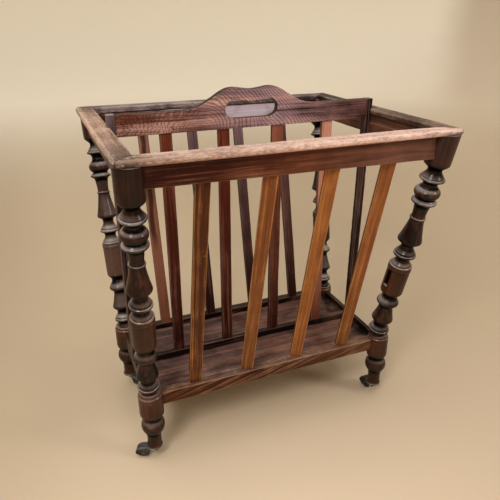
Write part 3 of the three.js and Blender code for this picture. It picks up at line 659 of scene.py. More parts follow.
def make_frieze(name, material, seed, drop=(0.0, 0.0)):
    """Frieze rail with its stepped inner face, drawn as a bar along X and then turned to its side."""
    along_x = name in ("front", "back")
    sign = -1 if name in ("front", "left") else 1
    half, middle = (HEAD_X - 7, HEAD_Y) if along_x else (HEAD_Y - 7, HEAD_X)
    top = CAP_BOTTOM + 0.2
    corners = [(-FRIEZE_HALF, FRIEZE_BOTTOM), (FRIEZE_HALF, FRIEZE_BOTTOM), (FRIEZE_HALF, top), (-FRIEZE_THIN, top),
               (-FRIEZE_THIN, FRIEZE_STEP), (-FRIEZE_HALF, FRIEZE_STEP)]
    section, wear_and_shading = rounded(corners, [1.0, 0.9, 0.3, 0.3, 0.25, 0.6])
    wear_and_shading = np.where(section[:, 1] > CAP_BOTTOM - 2, 0.15, wear_and_shading)
    shares = np.linspace(0, 1, int(half * 2 / STATION) + 1)
    run, out = np.eye(3)[[0, 1] if along_x else [1, 0]]
    out, up = out * sign, np.array([0, 0, 1.0])
    if np.cross(out, up) @ run < 0:
        section, wear_and_shading = section[::-1], wear_and_shading[::-1]

    def shape(s, k):
        fall = np.interp(shares[k], (0, 1), drop)
        s = s.copy()
        s[:, 1] -= fall * (1 - smooth(FRIEZE_BOTTOM, 474, s[:, 1]))
        return s

    stations = [(run * (half * (2 * s - 1)) + out * middle, out, up) for s in shares]
    verts, faces, wear_shading = sweep(stations, section, wear_and_shading, shape)
    centre = np.repeat([s[0] + up * HEAD_Z for s in stations], len(section), 0)
    grain = swept_grain(shares, half * 2, section[:, 1] - HEAD_Z, section[:, 0])
    if name == "back":
        # the middle of the face towards the papers is painted pale: a painted sheen
        inner = (grain[:, 2] < -4.5) & (wear_shading > 0.2)
        aside = np.abs(grain[:, 0] + value_noise(grain, 30.0, 5.1)[:, 0] * 40)
        wear_shading = np.where(inner, 0.5 + 0.43 * smooth(150, 70, aside), wear_shading)
    verts = age(verts, centre, wear_shading, seed, 0.5, 0.15)
    dress(f"frieze_{name}", "moulded", material, verts, faces, grain, wear_shading, 30)


def cap_section():
    """The cap's section as (distance from its outer edge, height) with its wear value, from the nose inward: high on
    top of the nose, rubbing with a painted highlight, and low on the underside, painted shade.
    """
    nose, ease = (CAP_TOP - CAP_BOTTOM) / 2, 1.6
    rows = []
    for k in range(13):
        a = math.radians(-90 - 180 * k / 12)
        rows.append((nose + nose * math.cos(a), CAP_BOTTOM + nose + nose * math.sin(a), 0.35 + 0.6 * k / 12))
    rows += [(d, CAP_TOP, 0.62) for d in (7.0, 10.5, 14.0, 17.5, 21.0, 23.6)]
    for k in range(4):
        a = math.radians(90 - 30 * k)
        rows.append((CAP_WIDTH - ease + ease * math.cos(a), CAP_TOP - ease + ease * math.sin(a), 0.85))
    # the lower inner edge and the underside get low values: painted shade under the cap
    rows += [(CAP_WIDTH, CAP_BOTTOM + 3, 0.4), (CAP_WIDTH, CAP_BOTTOM, 0.2)]
    rows += [(d, CAP_BOTTOM, 0.2) for d in (20.0, 12.0)]
    rows = np.array(rows)[::-1]
    return rows[:, :2], rows[:, 2]


def make_cap(name, material, seed, turn):
    """Mitred cap rail with a half-round nose, its corners rubbed round."""
    half, outer = (CAP_HALF_X, CAP_HALF_Y) if turn in (0, 180) else (CAP_HALF_Y, CAP_HALF_X)
    section, wear_and_shading = cap_section()
    near = np.array([0, 0.7, 1.5, 2.4, 3.4, 4.6, 6, 8, 10, 12.5, 15.5, 19, 23, 28])
    middle = np.linspace(34, 2 * half - 34, int((2 * half - 68) / 4.5))
    ends = np.concatenate([near, middle, 2 * half - near[::-1]])
    verts = np.concatenate([
        np.stack([(half - 0.18 - section[:, 0]) * (e / half - 1), section[:, 0] - outer, section[:, 1]], 1)
        for e in ends])
    grain = np.stack([verts[:, 0], verts[:, 1] + outer - 13, verts[:, 2] - 492], 1)
    # rubbed corners in plan: the square corner is drawn in to a quarter circle
    size = 8.5
    dx = np.abs(verts[:, 0]) - (half - size)
    dy = -verts[:, 1] - (outer - size)
    hit = (dx > 0) & (dy > 0)
    scale = np.maximum(dx, dy) / np.maximum(np.hypot(dx, dy), 1e-6)
    verts[hit, 0] = np.sign(verts[hit, 0]) * (half - size + dx[hit] * scale[hit])
    verts[hit, 1] = -(outer - size + dy[hit] * scale[hit])
    spin = about_z(turn)
    world = verts @ spin.T
    # uneven, rubbed edges, deeper on the nose and near the corners
    rough = value_noise(world, 7.0, seed)[:, 0]
    slow = value_noise(world, 34.0, seed + 2)[:, 0]
    corner = smooth(60, 0, half - np.abs(verts[:, 0]))
    d = np.tile(section[:, 0], len(ends))
    nose = np.clip(1 - d / 6.0, 0, 1)
    inner = np.clip((d - 22) / 4.7, 0, 1)
    depth = (np.clip(rough, 0, 1) + np.clip(slow, 0, 1) * 0.8) * (0.35 + corner * 0.9)
    world += ((nose - inner * 0.7) * depth)[:, None] * spin[:, 1]
    top = np.tile(section[:, 1], len(ends)) > CAP_TOP - 3.0
    sunk = np.clip(slow + 0.2, 0, 1) * 0.35 + corner * np.clip(rough, 0, 1) * 0.5 + (nose + inner) * depth * 0.5
    world[:, 2] -= top * sunk
    mitre = np.minimum(ends, 2 * half - ends) < 1.0
    wear_shading = np.clip(np.tile(wear_and_shading, len(ends)) - np.repeat(mitre, len(section)) * 0.6, 0, 1)
    faces = tube_faces(len(ends), len(section))
    dress(f"cap_{name}", "wear_and_shading", material, world, faces, grain, wear_shading, 50)


def catmull(points, steps):
    """Points on a smooth curve through the given ones."""
    p = np.array([points[0]] + list(points) + [points[-1]], float)
    out = []
    for i in range(1, len(p) - 2):
        for k in range(steps):
            t = k / steps
            v0, v1 = (p[i + 1] - p[i - 1]) / 2, (p[i + 2] - p[i]) / 2
            a = 2 * p[i] - 2 * p[i + 1] + v0 + v1
            b = -3 * p[i] + 3 * p[i + 1] - 2 * v0 - v1
            out.append(a * t ** 3 + b * t ** 2 + v0 * t + p[i])
    out.append(p[-2])
    return out


def mirrored(points, middle):
    return [*points, middle, *[(-x, z) for x, z in reversed(points)]]


def make_board(material):
    crest = [(x * CREST_HALF, STILE_TOP + z * CREST_RISE) for x, z in CREST]
    crest = catmull(mirrored(crest, (0, STILE_TOP + CREST_DIP)), 7)
    grip = [(x * GRIP_HALF, GRIP_BOTTOM + z * GRIP_RISE) for x, z in GRIP]
    grip = catmull(mirrored(grip, (0, GRIP_BOTTOM + GRIP_DIP)), 6)
    half, thick, ease = 197.2, 6.0, 1.0
    outer = [(-half, BOARD_BOTTOM), (half, BOARD_BOTTOM), (half, STILE_TOP), *crest, (-half, STILE_TOP)]
    curve = bpy.data.curves.new("board_outline", "CURVE")
    curve.dimensions = "2D"
    curve.fill_mode = "BOTH"
    for loop in (outer, grip):
        spline = curve.splines.new("POLY")
        spline.points.add(len(loop) - 1)
        for point, (x, z) in zip(spline.points, loop):
            point.co = (x, z, 0, 1)
        spline.use_cyclic_u = True
    curve.extrude = thick - ease
    curve.bevel_depth = ease
    curve.bevel_resolution = 2
    curve.offset = -ease
    drawn = bpy.data.objects.new("board_outline", curve)
    bpy.context.scene.collection.objects.link(drawn)
    graph = bpy.context.evaluated_depsgraph_get()
    flat = bpy.data.meshes.new_from_object(drawn.evaluated_get(graph))
    points = np.array([v.co for v in flat.vertices])
    # the curve leaves the faces and the rim unjoined
    key = {}
    index = np.array([key.setdefault(tuple(np.round(p, 3)), len(key)) for p in points])
    merged = np.array(list(key))
    faces = [tuple(dict.fromkeys(int(index[i]) for i in f.vertices)) for f in flat.polygons]
    faces = [f for f in faces if len(f) > 2]
    bpy.data.objects.remove(drawn)
    bpy.data.curves.remove(curve)
    bpy.data.meshes.remove(flat)
    x, z, y = merged[:, 0], merged[:, 1], -merged[:, 2]
    verts = np.stack([x, y, z], 1)
    grain = np.stack([x, z - 500, y], 1)
    wear_shading = np.where(np.abs(y) > thick - 0.05, 0.5, np.where(np.abs(y) > thick - 0.7, 0.4, 0.1))
    verts[:, 0] = np.clip(verts[:, 0], -half, half)
    dress("handle_board", "sawn", material, verts, faces, grain, wear_shading, 60)


def make_floor_panel(material):
    half_x, half_y = 202, 90
    gx, gy = np.meshgrid(np.linspace(-half_x, half_x, 82), np.linspace(-half_y, half_y, 37), indexing="ij")
    top = np.stack([gx.ravel(), gy.ravel(), np.full(gx.size, FLOOR_TOP)], 1)
    wavy = value_noise(top, 40.0, 7.7)[:, 0] * 0.18 - np.abs(value_noise(top, 120.0, 2.2)[:, 0]) * 0.25
    top[:, 2] += np.minimum(wavy, 0.05)
    verts = np.concatenate([top, np.column_stack([top[:, :2], np.full(len(top), FLOOR_BOTTOM)])])
    upper = np.arange(gx.size).reshape(gx.shape)
    lower = upper + gx.size
    quads = [(upper[:-1, :-1], upper[1:, :-1], upper[1:, 1:], upper[:-1, 1:]),
             (lower[:-1, 1:], lower[1:, 1:], lower[1:, :-1], lower[:-1, :-1]),
             (upper[1:, 0], upper[:-1, 0], lower[:-1, 0], lower[1:, 0]),
             (upper[:-1, -1], upper[1:, -1], lower[1:, -1], lower[:-1, -1]),
             (upper[0, :-1], upper[0, 1:], lower[0, 1:], lower[0, :-1]),
             (upper[-1, 1:], upper[-1, :-1], lower[-1, :-1], lower[-1, 1:])]
    faces = [tuple(face) for q in quads for face in np.stack(q, -1).reshape(-1, 4).tolist()]
    grain = verts - (0, 0, 106)
    # rubbed pale near the front; darker along the rails and the sill, and painted shade of the right side rail along
    # the right end
    x, y = verts[:, 0], verts[:, 1]
    wear_shading = 0.5 + 0.5 * smooth(-66, -80, y) * smooth(-125, -100, x) * smooth(-20, -45, x)
    wear_shading -= 0.4 * np.maximum(smooth(84, 90, np.abs(y)), smooth(10, 5, np.abs(y)))
    wear_shading -= 0.35 * smooth(165, 195, x + value_noise(verts, 18.0, 3.3)[:, 0] * 14)
    dress("tray_floor", "panel", material, verts, faces, grain, np.clip(wear_shading, 0, 1), 30)


# ---------------------------------------------------------------- casters

def turned_metal(outline_points, sides=40):
    """A turned piece from its outline as (radius, height), worn on the parts that stand out."""
    points = np.array(outline_points, float)
    dense = [points[0]]
    for a, b in zip(points, points[1:]):
        n = max(1, int(np.hypot(*(b - a)) / 1.5))
        dense += [a + (b - a) * (k + 1) / n for k in range(n)]
    r, z = np.array(dense).T
    mid = np.convolve(np.pad(r, 2, mode="edge"), np.ones(5) / 5, mode="valid")
    return lathe(np.maximum(r, 0.01), z, np.clip(0.5 + r - mid, 0, 1), around(sides))


def slab(name, side, width, flip=1):
    """A flat body with this side view as (x, z) points and this width. Flip -1 turns its faces over."""
    n = len(side)
    verts = [(x, y, z) for y in (-width / 2, width / 2) for x, z in side]
    faces = [tuple(range(n)), tuple(range(2 * n - 1, n - 1, -1))]
    faces += [(i, i + n, (i + 1) % n + n, (i + 1) % n) for i in range(n)]
    return build(name, verts, [f[::flip] for f in faces], np.zeros((2 * n, 3)), np.zeros(2 * n))


def arch(radius, angles):
    return [(TRAIL + radius * math.cos(a), WHEEL_R + radius * math.sin(a)) for a in angles]


def make_horn_mesh():
    """The forked horn in its own frame: pivot on Z, wheel trailing along +X."""
    hollow, total, inside = WHEEL_R + 0.8, 13.2, 7.2
    roof = arch(hollow + 1.3, np.radians(np.arange(0, 91, 9)))
    body = slab("horn_body", [(-6.5, 17.1), (6.5, 17.1), (12, 6), (22, 6), *roof, (-6.5, HORN_TOP)], total)
    around_wheel = [*arch(hollow, np.linspace(0, math.pi, 25)), (TRAIL - hollow, -6), (TRAIL + hollow, -6)]
    cutter = slab("horn_hollow", around_wheel, inside, flip=-1)
    pin_v, pin_f, pin_w = turned_metal([(4.1, -4), (4.1, 17.1), (2.5, 17.1), (2.5, 26)], 24)
    pin = build("horn_bore", pin_v, pin_f, pin_v, pin_w)
    for tool in (cutter, pin):
        mod = body.modifiers.new("cut", "BOOLEAN")
        mod.operation, mod.solver, mod.object = "DIFFERENCE", "EXACT", tool
    edge = body.modifiers.new("edge", "BEVEL")
    edge.width, edge.segments, edge.limit_method, edge.angle_limit = 0.9 * MM, 3, "ANGLE", math.radians(40)
    apply_all(body)
    verts = np.array([v.co for v in body.data.vertices]) / MM
    faces = [tuple(f.vertices) for f in body.data.polygons]
    for o in (body, cutter, pin):
        mesh = o.data
        bpy.data.objects.remove(o)
        bpy.data.meshes.remove(mesh)
    aside = np.abs(verts[:, 1])
    # the top gets high values and the side cheeks and the inside of the fork low ones: a painted highlight on top,
    # painted shade on the cheeks and in the fork
    wear_shading = np.where(aside > total / 2 - 1.0, 0.12, 0.45) + 0.5 * smooth(16, 21.5, verts[:, 2])
    return verts, faces, np.clip(wear_shading - 0.5 * (aside < inside / 2 + 0.2), 0, 1)


def make_casters(horn_mat, black_mat, dark_mat, wheel_mat):
    horn_v, horn_f, horn_w = make_horn_mesh()
    plate = turned_metal([(0, 14.6), (3.3, 14.6), (3.8, 15.1), (3.8, 16.8), (2.2, 16.8), (2.2, 22.4), (11.9, 22.4),
                          (12.5, 23.0), (12.5, 24.6), (11.7, 25.4), (3.5, 25.4), (3.5, 47.4), (0, 47.4)])
    # one half of the wheel's and the axle's outline, with the other half mirrored
    rim = [(1.7, -2.7), (3.4, -3.0), (4.0, -2.7), (7.6, -2.5), (8.7, -2.2), (9.5, -1.5), (9.9, -0.6)]
    wheel = turned_metal([*rim, (WHEEL_R, 0), *[(r, -z) for r, z in rim[::-1]]], 56)
    head = [(0, -7.8), (1.2, -7.7), (2.1, -7.4), (2.6, -6.9), (1.4, -6.9)]
    axle = turned_metal([*head, *[(r, -z) for r, z in head[::-1]]], 24)
    for name, (sx, sy) in CORNERS.items():
        pivot = np.array([sx * FOOT_X, sy * FOOT_Y, 0])
        spin = about_z(REST_TURNS[name])
        v, f, w = plate
        dress(f"caster_plate_{name}", "iron", dark_mat, v + pivot, f, v, w, 35, weigh=False)
        mat = black_mat if name == "front_right" else horn_mat
        dress(f"caster_horn_{name}", "cast", mat, horn_v @ spin.T + pivot, horn_f, horn_v, horn_w, 35,
              f"swivel_{name}")
        for (v, f, w), part, body, slot, mat in ((axle, "axle", "swivel", "fitting_metal", dark_mat),
                                                 (wheel, "wheel", "wheel", "wheel_metal", wheel_mat)):
            local = v[:, [0, 2, 1]] * (1, -1, 1) + (TRAIL, 0, WHEEL_R)
            dress(f"caster_{part}_{name}", "turned", mat, local @ spin.T + pivot, f, v, w, 35,
                  f"{body}_{name}", weigh=False)


# ---------------------------------------------------------------- the rack

# On the turned pieces the rim colour is rubbing with a painted highlight, the dust colour mostly a painted sheen on
# upper faces, the dirt colour dirt with painted shade, and under paints shade underneath
TURNED = dict(dark=(6, 3, 2), light=(100, 56, 40), rim=(186, 178, 172), rim_mix=0.6, dirt_and_shade=(7, 4, 3), dirt_and_shade_mix=1.0,
              dust_and_sheen=(182, 170, 164), dust_and_sheen_mix=0.8, under=1.0, blotch=0.85, pore_mix=0.4, scratch=0.0, rough=0.4,
              coat=0.36, coat_rough=0.16, specular=0.04, bump=0.3)
# Tones of a post at its turned features, from the foot up
FEATURES = (0.02, 0.075, 0.10, 0.17, 0.20, 0.25, 0.275, 0.42, 0.445, 0.51, 0.53, 0.64, 0.70, 0.735, 0.77, 0.83,
            0.885, 1.0)
POST_TONES = {
    "front_left": ((53, 34, 25), (35, 20, 15), (27, 14, 8), (24, 12, 7), (26, 15, 11), (34, 19, 11), (76, 44, 20),
                   (64, 37, 19), (38, 25, 19), (33, 21, 17), (35, 14, 7), (29, 12, 7), (37, 17, 8), (42, 26, 19),
                   (50, 26, 16), (38, 23, 18), (48, 20, 10), (42, 18, 8)),
    "front_right": ((35, 20, 15), (28, 15, 10), (37, 17, 8), (31, 15, 6), (26, 16, 13), (31, 16, 10), (73, 39, 17),
                    (67, 37, 20), (28, 17, 14), (24, 14, 11), (20, 7, 5), (20, 8, 5), (24, 12, 9), (37, 25, 21),
                    (39, 23, 15), (38, 25, 21), (62, 38, 30), (52, 32, 26)),
    "back_left": ((50, 33, 26), (46, 30, 25), (50, 32, 26), (60, 41, 35), (58, 41, 36), (70, 51, 44), (86, 64, 54),
                  (84, 66, 58), (72, 55, 50), (80, 61, 54), (62, 38, 35), (68, 45, 41), (70, 51, 46), (58, 41, 38),
                  (50, 30, 27), (58, 41, 38), (66, 41, 34), (72, 47, 38)),
    "back_right": ((27, 15, 10), (24, 12, 9), (27, 13, 9), (30, 14, 10), (24, 13, 10), (28, 15, 10), (40, 21, 15),
                   (35, 19, 14), (23, 12, 11), (23, 12, 11), (24, 12, 9), (24, 12, 9), (23, 12, 11), (24, 13, 11),
                   (27, 15, 11), (24, 13, 11), (30, 17, 13), (30, 17, 13)),
}
FOOT_TONES = [(0, 54, 28, 15), (0.3, 42, 20, 10), (0.5, 44, 22, 12), (1, 78, 45, 24)]
for i, corner in enumerate(CORNERS):
    tones = [(share, *tone) for share, tone in zip(FEATURES, POST_TONES[corner])]
    make_post(corner, wood(f"turned_{corner}", tones, seed=i + 1.0, length=370, pith=(2.0, -1.5), **TURNED))
    make_foot(corner, wood(f"foot_{corner}", FOOT_TONES, seed=i + 6.0, length=104, pith=(-1.0, 2.0),
                           **dict(TURNED, dust_and_sheen_mix=0.4)))

RAIL = dict(dark=(14, 5, 4), light=(150, 96, 70), rim=(140, 104, 84), dirt_and_shade=(10, 5, 4), dirt_and_shade_mix=0.85, length=410,
            pith=(70.0, 20.0), ring=4.2, streak=0.36, scratch=0.4, coat_rough=0.3)
FRIEZE_TONES = {
    # the front frieze runs from dark at its left end to light at its right: partly its own tone, partly painted
    # light, a sheen and more light towards the right
    "front": [(0, 46, 12, 6), (0.25, 60, 22, 9), (0.5, 92, 48, 30), (0.8, 116, 76, 62), (1, 96, 64, 53)],
    "back": [(0, 60, 35, 28), (1, 64, 39, 32)],
    "left": [(0, 60, 34, 26), (1, 66, 40, 32)],
    "right": [(0, 84, 52, 38), (1, 60, 38, 30)],
}
for i, (side, tones) in enumerate(FRIEZE_TONES.items()):
    # the back frieze's pale rim colour paints that sheen on its inner face
    own = dict(RAIL, rim=(205, 191, 204), rim_mix=0.84) if side == "back" else RAIL
    make_frieze(side, wood(f"frieze_{side}", tones, seed=i + 20.0, **own), i + 3.0,
                drop=(-2.2, 2.6) if side == "front" else (0.0, 0.0))

CAP = dict(rim=(226, 198, 176), rim_mix=0.25, dirt_and_shade=(48, 32, 26), dirt_and_shade_mix=0.8, pith=(60.0, -30.0), streak=0.45,
           speck=0.7, stain_mix=0.35, rough=0.5, coat=0.0, specular=0.15, bump=0.7)
# tones, then dark, light and stain colour, length, blotches and turn about Z
CAP_TONES = {
    "front": ([(0, 56, 45, 41), (0.045, 82, 65, 57), (0.1, 168, 137, 121), (0.3, 186, 153, 138),
               (0.6, 210, 173, 159), (0.92, 225, 191, 179), (1, 170, 146, 134)],
              (96, 62, 46), (250, 222, 200), (84, 60, 50), 460, 0.5, 0),
    "right": ([(0, 124, 92, 80), (0.18, 88, 64, 55), (0.4, 52, 39, 35), (1, 43, 32, 30)],
              (24, 15, 13), (160, 126, 108), (26, 18, 16), 380, 1.0, 90),
    "back": ([(0, 80, 66, 66), (0.5, 94, 80, 84), (1, 100, 88, 94)],
             (32, 22, 20), (166, 148, 147), (38, 28, 26), 460, 1.0, 180),
    "left": ([(0, 108, 90, 76), (0.25, 156, 126, 106), (0.5, 192, 154, 132), (0.75, 166, 136, 120),
              (0.9, 116, 96, 86), (1, 70, 57, 52)],
             (84, 56, 44), (216, 186, 164), (64, 46, 40), 380, 0.7, 270),
}
for i, (side, (tones, dark, light, stain, length, blotch, turn)) in enumerate(CAP_TONES.items()):
    mat = wood(f"cap_{side}", tones, dark, light, seed=i + 30.0, length=length, stain=stain, blotch=blotch, **CAP)
    make_cap(side, mat, i + 11.0, turn)


def make_leaning_slat(name, side, x, size, slot, mat, **settings):
    """A slat between a tray rail and a frieze, with 2 mm more below and 4 mm more above."""
    lean = np.array([0, side * (FRIEZE_SLAT_Y - RAIL_SLAT_Y), FRIEZE_BOTTOM - TRAY_TOP])
    lean = lean / np.linalg.norm(lean)
    a = np.array([x, side * RAIL_SLAT_Y, TRAY_TOP]) - lean * 2
    b = np.array([x, side * FRIEZE_SLAT_Y, FRIEZE_BOTTOM]) + lean * 4
    # side=0.1 paints shade on the side faces
    make_bar(name, slot, mat, a, b, (1, 0, 0), np.cross(lean, (1, 0, 0)), size, 1.0, side=0.1, **settings)


SLAT = dict(dark=(48, 22, 9), light=(206, 140, 76), rim=(204, 146, 90), dirt_and_shade=(46, 22, 11), dirt_and_shade_mix=0.75, length=345,
            ring=3.0, ring_mix=0.12, blotch=0.35, bump=0.4)
# tones from the foot up, how far each slat is twisted, and how narrow its foot is
front = [
    ([(0, 75, 37, 14), (1, 75, 36, 14)], -6, 1.0),
    ([(0, 112, 68, 34), (1, 126, 73, 38)], -24, 1.0),
    ([(0, 138, 84, 40), (1, 146, 88, 44)], -18, 0.95),
    ([(0, 108, 65, 31), (1, 140, 82, 45)], -20, 0.95),
]
for i, (tones, twist, taper) in enumerate(front):
    mat = wood(f"front_slat_{i + 1}", tones, seed=i + 40.0, pith=(30.0 - i * 14, 16.0), **SLAT)
    make_leaning_slat(f"front_slat_{i + 1}", -1, SLAT_X[i], (19, 7), "front_slat_wood", mat, seed=i + 2.0,
                      twist=twist, taper=taper)

DARK = dict(dark=(16, 5, 4), light=(150, 98, 80), rim=(140, 98, 78), rim_mix=0.35, dirt_and_shade=(16, 6, 5), dirt_and_shade_mix=0.8,
            ring_mix=0.2, streak=0.4, blotch=0.4, coat=0.04, specular=0.1, bump=0.4)
# tones of the back slats, each with those of the divider slat in line with it
inner = [
    ([(0, 128, 76, 56), (0.5, 150, 98, 76), (1, 140, 96, 80)], [(0, 38, 9, 6), (1, 96, 38, 22)]),
    ([(0, 50, 20, 16), (0.6, 66, 40, 38), (1, 108, 84, 86)], [(0, 40, 9, 6), (1, 96, 38, 22)]),
    ([(0, 48, 20, 16), (0.6, 74, 50, 50), (1, 120, 96, 98)],
     [(0, 60, 25, 18), (0.7, 106, 58, 43), (1, 146, 86, 64)]),
    ([(0, 46, 18, 14), (1, 92, 64, 60)], [(0, 112, 60, 42), (1, 214, 150, 126)]),
]
UPRIGHT = dict(across=(1, 0, 0), up=(0, 1, 0))
for i, (x, (back_tones, divider_tones)) in enumerate(zip(SLAT_X, inner)):
    mat = wood(f"back_slat_{i + 1}", back_tones, seed=i + 50.0, length=345, pith=(26.0 - i * 12, -15.0),
               vein=(-2.0, 5.6, 0.35, 0.5) if i == 0 else None, **DARK)
    make_leaning_slat(f"back_slat_{i + 1}", 1, x, (17.5, 7), "dark_slat_wood", mat, seed=i + 7.0, wave=0.35)
    mat = wood(f"divider_slat_{i + 1}", divider_tones, seed=i + 60.0, length=362, pith=(20.0 + i * 9, 14.0), **DARK)
    # side=0.1 paints shade on the side faces
    make_bar(f"divider_slat_{i + 1}", "dark_slat_wood", mat, (x, 0, TRAY_TOP - 1), (x, 0, BOARD_BOTTOM + 2),
             size=(17.5, 7), radius=1.0, seed=i + 13.0, wave=0.35, side=0.1, **UPRIGHT)
for side, sign, low, top, dust_and_sheen_mix in (("left", -1, (34, 16, 11), (98, 84, 90), 0.6),
                                       ("right", 1, (22, 9, 6), (36, 22, 20), 0.5)):
    mat = wood(f"stile_{side}", [(0, 28, 11, 7), (0.8, *low), (1, *top)], seed=70.0 + sign, length=392,
               pith=(18.0, 9.0), dust_and_sheen=(170, 158, 154), dust_and_sheen_mix=dust_and_sheen_mix,
               **dict(DARK, streak=0.7, light=(124, 100, 94)))
    make_bar(f"stile_{side}", "dark_slat_wood", mat, (sign * SIDE_X, 0, TRAY_TOP - 0.2),
             (sign * SIDE_X, 0, STILE_TOP), size=(10.5, 14), radius=1.1, seed=20.0 + sign, nick=0.9, **UPRIGHT)
make_board(wood(
    "board_figured", [(0, 96, 50, 33), (0.22, 106, 64, 52), (0.42, 138, 106, 108), (0.6, 156, 126, 134),
                      (0.8, 138, 102, 100), (1, 114, 76, 68)],
    (34, 16, 16), (206, 160, 148), rim=(150, 120, 114), rim_mix=0.35, dirt_and_shade=(20, 11, 9), seed=81.0, length=394,
    rings=board_rings, ring=4.2, ring_mix=0.62, streak=0.5, blotch=1.2, pore_mix=0.35, coat=0.06, coat_rough=0.3,
    specular=0.15, bump=0.3))

TRAY = dict(dark=(22, 10, 7), light=(150, 110, 84), rim=(150, 116, 92), dirt_and_shade=(9, 4, 3), dust_and_sheen=(160, 136, 122),
            ring_mix=0.15, streak=0.45, rough=0.45, coat=0.03, specular=0.1)
front_rail = wood("rail_front", [(0, 88, 47, 22), (0.45, 64, 32, 15), (0.75, 82, 48, 29), (1, 98, 62, 40)],
                  seed=90.0, length=370, pith=(60.0, 18.0), dust_and_sheen_mix=0.25, **dict(TRAY, ring_mix=0.42, streak=0.75))
other_rail = wood("rail_other", [(0, 20, 10, 8), (1, 22, 12, 9)], seed=91.0, length=370, pith=(50.0, 22.0),
                  dust_and_sheen_mix=0.1, **dict(TRAY, rim_mix=0.25, streak=0.3))
TRAY_MIDDLE = (TRAY_TOP + TRAY_BOTTOM) / 2
LONG_HALF, SHORT_HALF = 192, 86
UP = (0, 0, 1)
for side, sign, mat in (("front", -1, front_rail), ("back", 1, other_rail)):
    a, b = ((end * LONG_HALF, sign * TRAY_RAIL_Y, TRAY_MIDDLE) for end in (-1, 1))
    make_bar(f"tray_{side}_rail", "rail_wood", mat, a, b, (0, 1, 0), UP, (14.6, 21), 1.2, seed=sign + 31.0,
             nick=0.9, offset=(0, 3), slant=0.25)
for side, sign in (("left", -1), ("right", 1)):
    a, b = ((sign * SIDE_X, end * SHORT_HALF, TRAY_MIDDLE) for end in (-1, 1))
    make_bar(f"tray_{side}_rail", "rail_wood", other_rail, a, b, (1, 0, 0), UP, (7.5, 21), 1.0, seed=sign + 35.0,
             nick=0.7, offset=(5, 0))
make_floor_panel(wood(
    "tray_boards", [(0, 66, 38, 34), (0.35, 72, 42, 35), (0.6, 98, 56, 39), (0.85, 92, 54, 39),
                    (1, 66, 38, 28)],
    (22, 9, 7), (140, 98, 80), rim=(176, 156, 144), rim_mix=0.6, dirt_and_shade=(12, 6, 5), seed=95.0, length=404,
    pith=(10.0, 60.0), ring=5.0, ring_mix=0.25, streak=0.7, blotch=1.0, dust_and_sheen=(160, 140, 130), dust_and_sheen_mix=0.16,
    stain=(28, 13, 12), stain_mix=0.45, scratch=0.8, rough=0.5, coat=0.03, coat_rough=0.3))
sill = wood("divider_sill", [(0, 22, 12, 13), (1, 27, 15, 16)], seed=97.0, length=398, pith=(30.0, 12.0),
            dust_and_sheen_mix=0.06, **dict(TRAY, rim_mix=0.15, streak=0.3))
a, b = ((end * SILL_HALF, 0, SILL_MIDDLE) for end in (-1, 1))
make_bar("divider_bottom_rail", "floor_wood", sill, a, b, (0, 1, 0), UP, (9.5, 10.8), 0.9, seed=44.0)

make_casters(metal("iron_horn", (104, 103, 103), (38, 37, 36), (178, 178, 178), 0.4, 0.6),
             metal("iron_black", (34, 32, 30), (14, 13, 12), (66, 62, 58), 0.5, 0.4, seed=1.0),
             metal("iron_fittings", (44, 40, 37), (20, 18, 16), (130, 124, 118), 0.5, 0.6, seed=2.0),
             metal("iron_wheel", (32, 27, 24), (14, 11, 10), (84, 76, 70), 0.45, 0.5, seed=4.0))


# ---------------------------------------------------------------- studio

scene = bpy.context.scene
scene.view_settings.view_transform = "Standard"


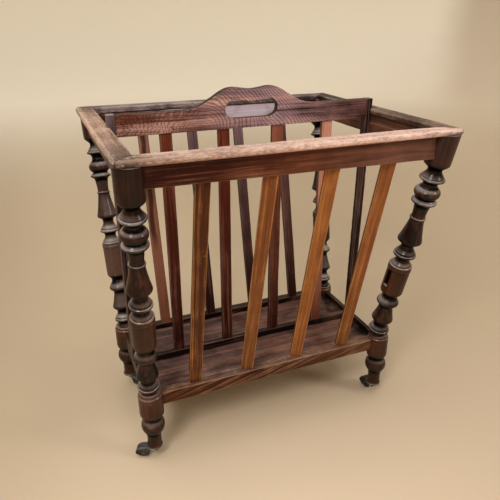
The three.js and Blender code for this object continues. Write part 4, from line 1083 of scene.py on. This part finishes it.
def make_stage():
    """A pale floor that sweeps up far away on all sides, its paper painted with light falloff and shade."""
    radii = [0.0001, 0.4, 0.8, 1.2, 1.7, 2.3, 3.0, 3.8]
    heights = [0.0] * len(radii)
    for k in range(1, 13):
        a = math.radians(80) * k / 12
        radii.append(3.8 + 1.4 * math.sin(a))
        heights.append(1.4 * (1 - math.cos(a)))
    radii.append(5.6)
    heights.append(5.0)
    m = 96
    verts = [(r * math.cos(a), r * math.sin(a), h) for r, h in zip(radii, heights) for a in around(m)]
    faces = [(i * m + j, i * m + (j + 1) % m, (i + 1) * m + (j + 1) % m, (i + 1) * m + j)
             for i in range(len(radii) - 1) for j in range(m)]
    faces.append(tuple(range(m)))
    mesh = bpy.data.meshes.new("studio_floor")
    mesh.from_pydata(verts, [], faces)
    mesh.polygons.foreach_set("use_smooth", [True] * len(faces))
    floor = bpy.data.objects.new("studio_floor", mesh)
    scene.collection.objects.link(floor)
    g = Graph("studio_paper")
    position = g.geometry("Position")
    x, y, z = g.split(position)
    y = y + (g.noise(position, 1.3) - 0.5) * 0.3
    # painted shade behind the rack: the floor darkens past y = 0.1
    colour = g.mix(g.span(y, -0.3, 0.1), (212, 190, 163), (191, 171, 142))
    # painted light falloff: darker towards the left and towards the right
    colour = g.mix(g.span(x, -0.22, -0.5, 0.0, 0.45), colour, (165, 145, 119))
    colour = g.mix(g.span(x, -0.1, 0.45, 0.0, 0.5) * g.span(x, 1.8, 0.7), colour, (165, 145, 119))
    # painted light: lighter far away and up the wall
    colour = g.mix(g.span(y, 0.9, 4.2), colour, (238, 227, 206))
    colour = g.mix(g.span(z, 0.0, 0.9), colour, (255, 245, 224))
    # a painted shadow on the wall to the right
    aside = g.span(x - y * 0.9, 0.1, 0.7, 0.0, 0.75) * g.span(y, 1.2, 3.0)
    g.surface(Base_Color=g.mix(aside, colour, (198, 178, 153)), Roughness=0.85, Specular_IOR_Level=0.2)
    mesh.materials.append(g.mat)


def make_light(name, kind, at, ahead, power, colour):
    light = bpy.data.lights.new(name, kind)
    light.energy, light.color = power, colour
    obj = bpy.data.objects.new(name, light)
    obj.location = at
    obj.rotation_euler = Vector(ahead).to_track_quat("-Z", "Y").to_euler()
    scene.collection.objects.link(obj)
    return obj


def make_lamp(name, at, aim, size, power, colour):
    """A square light that shines from one place to another and isn't seen itself."""
    obj = make_light(name, "AREA", at, Vector(aim) - Vector(at), power, colour)
    obj.data.shape, obj.data.size, obj.data.size_y = "RECTANGLE", size, size
    obj.visible_camera = False


make_stage()
sky = make_light("soft_sky", "SUN", (0, 0, 0), (0.14, 0.08, -1.0), 1.85, (0.99, 0.98, 0.975))
sky.data.angle = math.radians(60)
make_lamp("soft_left", (-1.1, -1.2, 1.7), (0, 0, 0.3), 0.5, 21, (1.0, 0.98, 0.97))
make_lamp("soft_right", (1.4, -1.3, 1.3), (0, 0, 0.25), 0.45, 11, (1.0, 0.97, 0.93))

world = bpy.data.worlds.new("studio")
scene.world = world
world.use_nodes = True
background = world.node_tree.nodes["Background"]
background.inputs["Color"].default_value = srgb(226, 214, 200)
background.inputs["Strength"].default_value = 0.16


def make_camera():
    yaw, pitch, roll = (math.radians(a) for a in (22.485, 24.345, 0.113))
    ahead = Vector((math.sin(yaw) * math.cos(pitch), math.cos(yaw) * math.cos(pitch), -math.sin(pitch)))
    right = Vector((math.cos(yaw), -math.sin(yaw), 0))
    top = right.cross(ahead)
    across = right * math.cos(roll) + top * math.sin(roll)
    upward = top * math.cos(roll) - right * math.sin(roll)
    data = bpy.data.cameras.new("camera")
    data.sensor_width = 36
    data.lens = 37.486
    data.clip_start = 0.02
    camera = bpy.data.objects.new("camera", data)
    turn = Matrix((across, upward, -ahead)).transposed().to_4x4()
    camera.matrix_world = Matrix.Translation((-0.2989, -0.7210, 0.6330)) @ turn
    scene.collection.objects.link(camera)
    scene.camera = camera


make_camera()
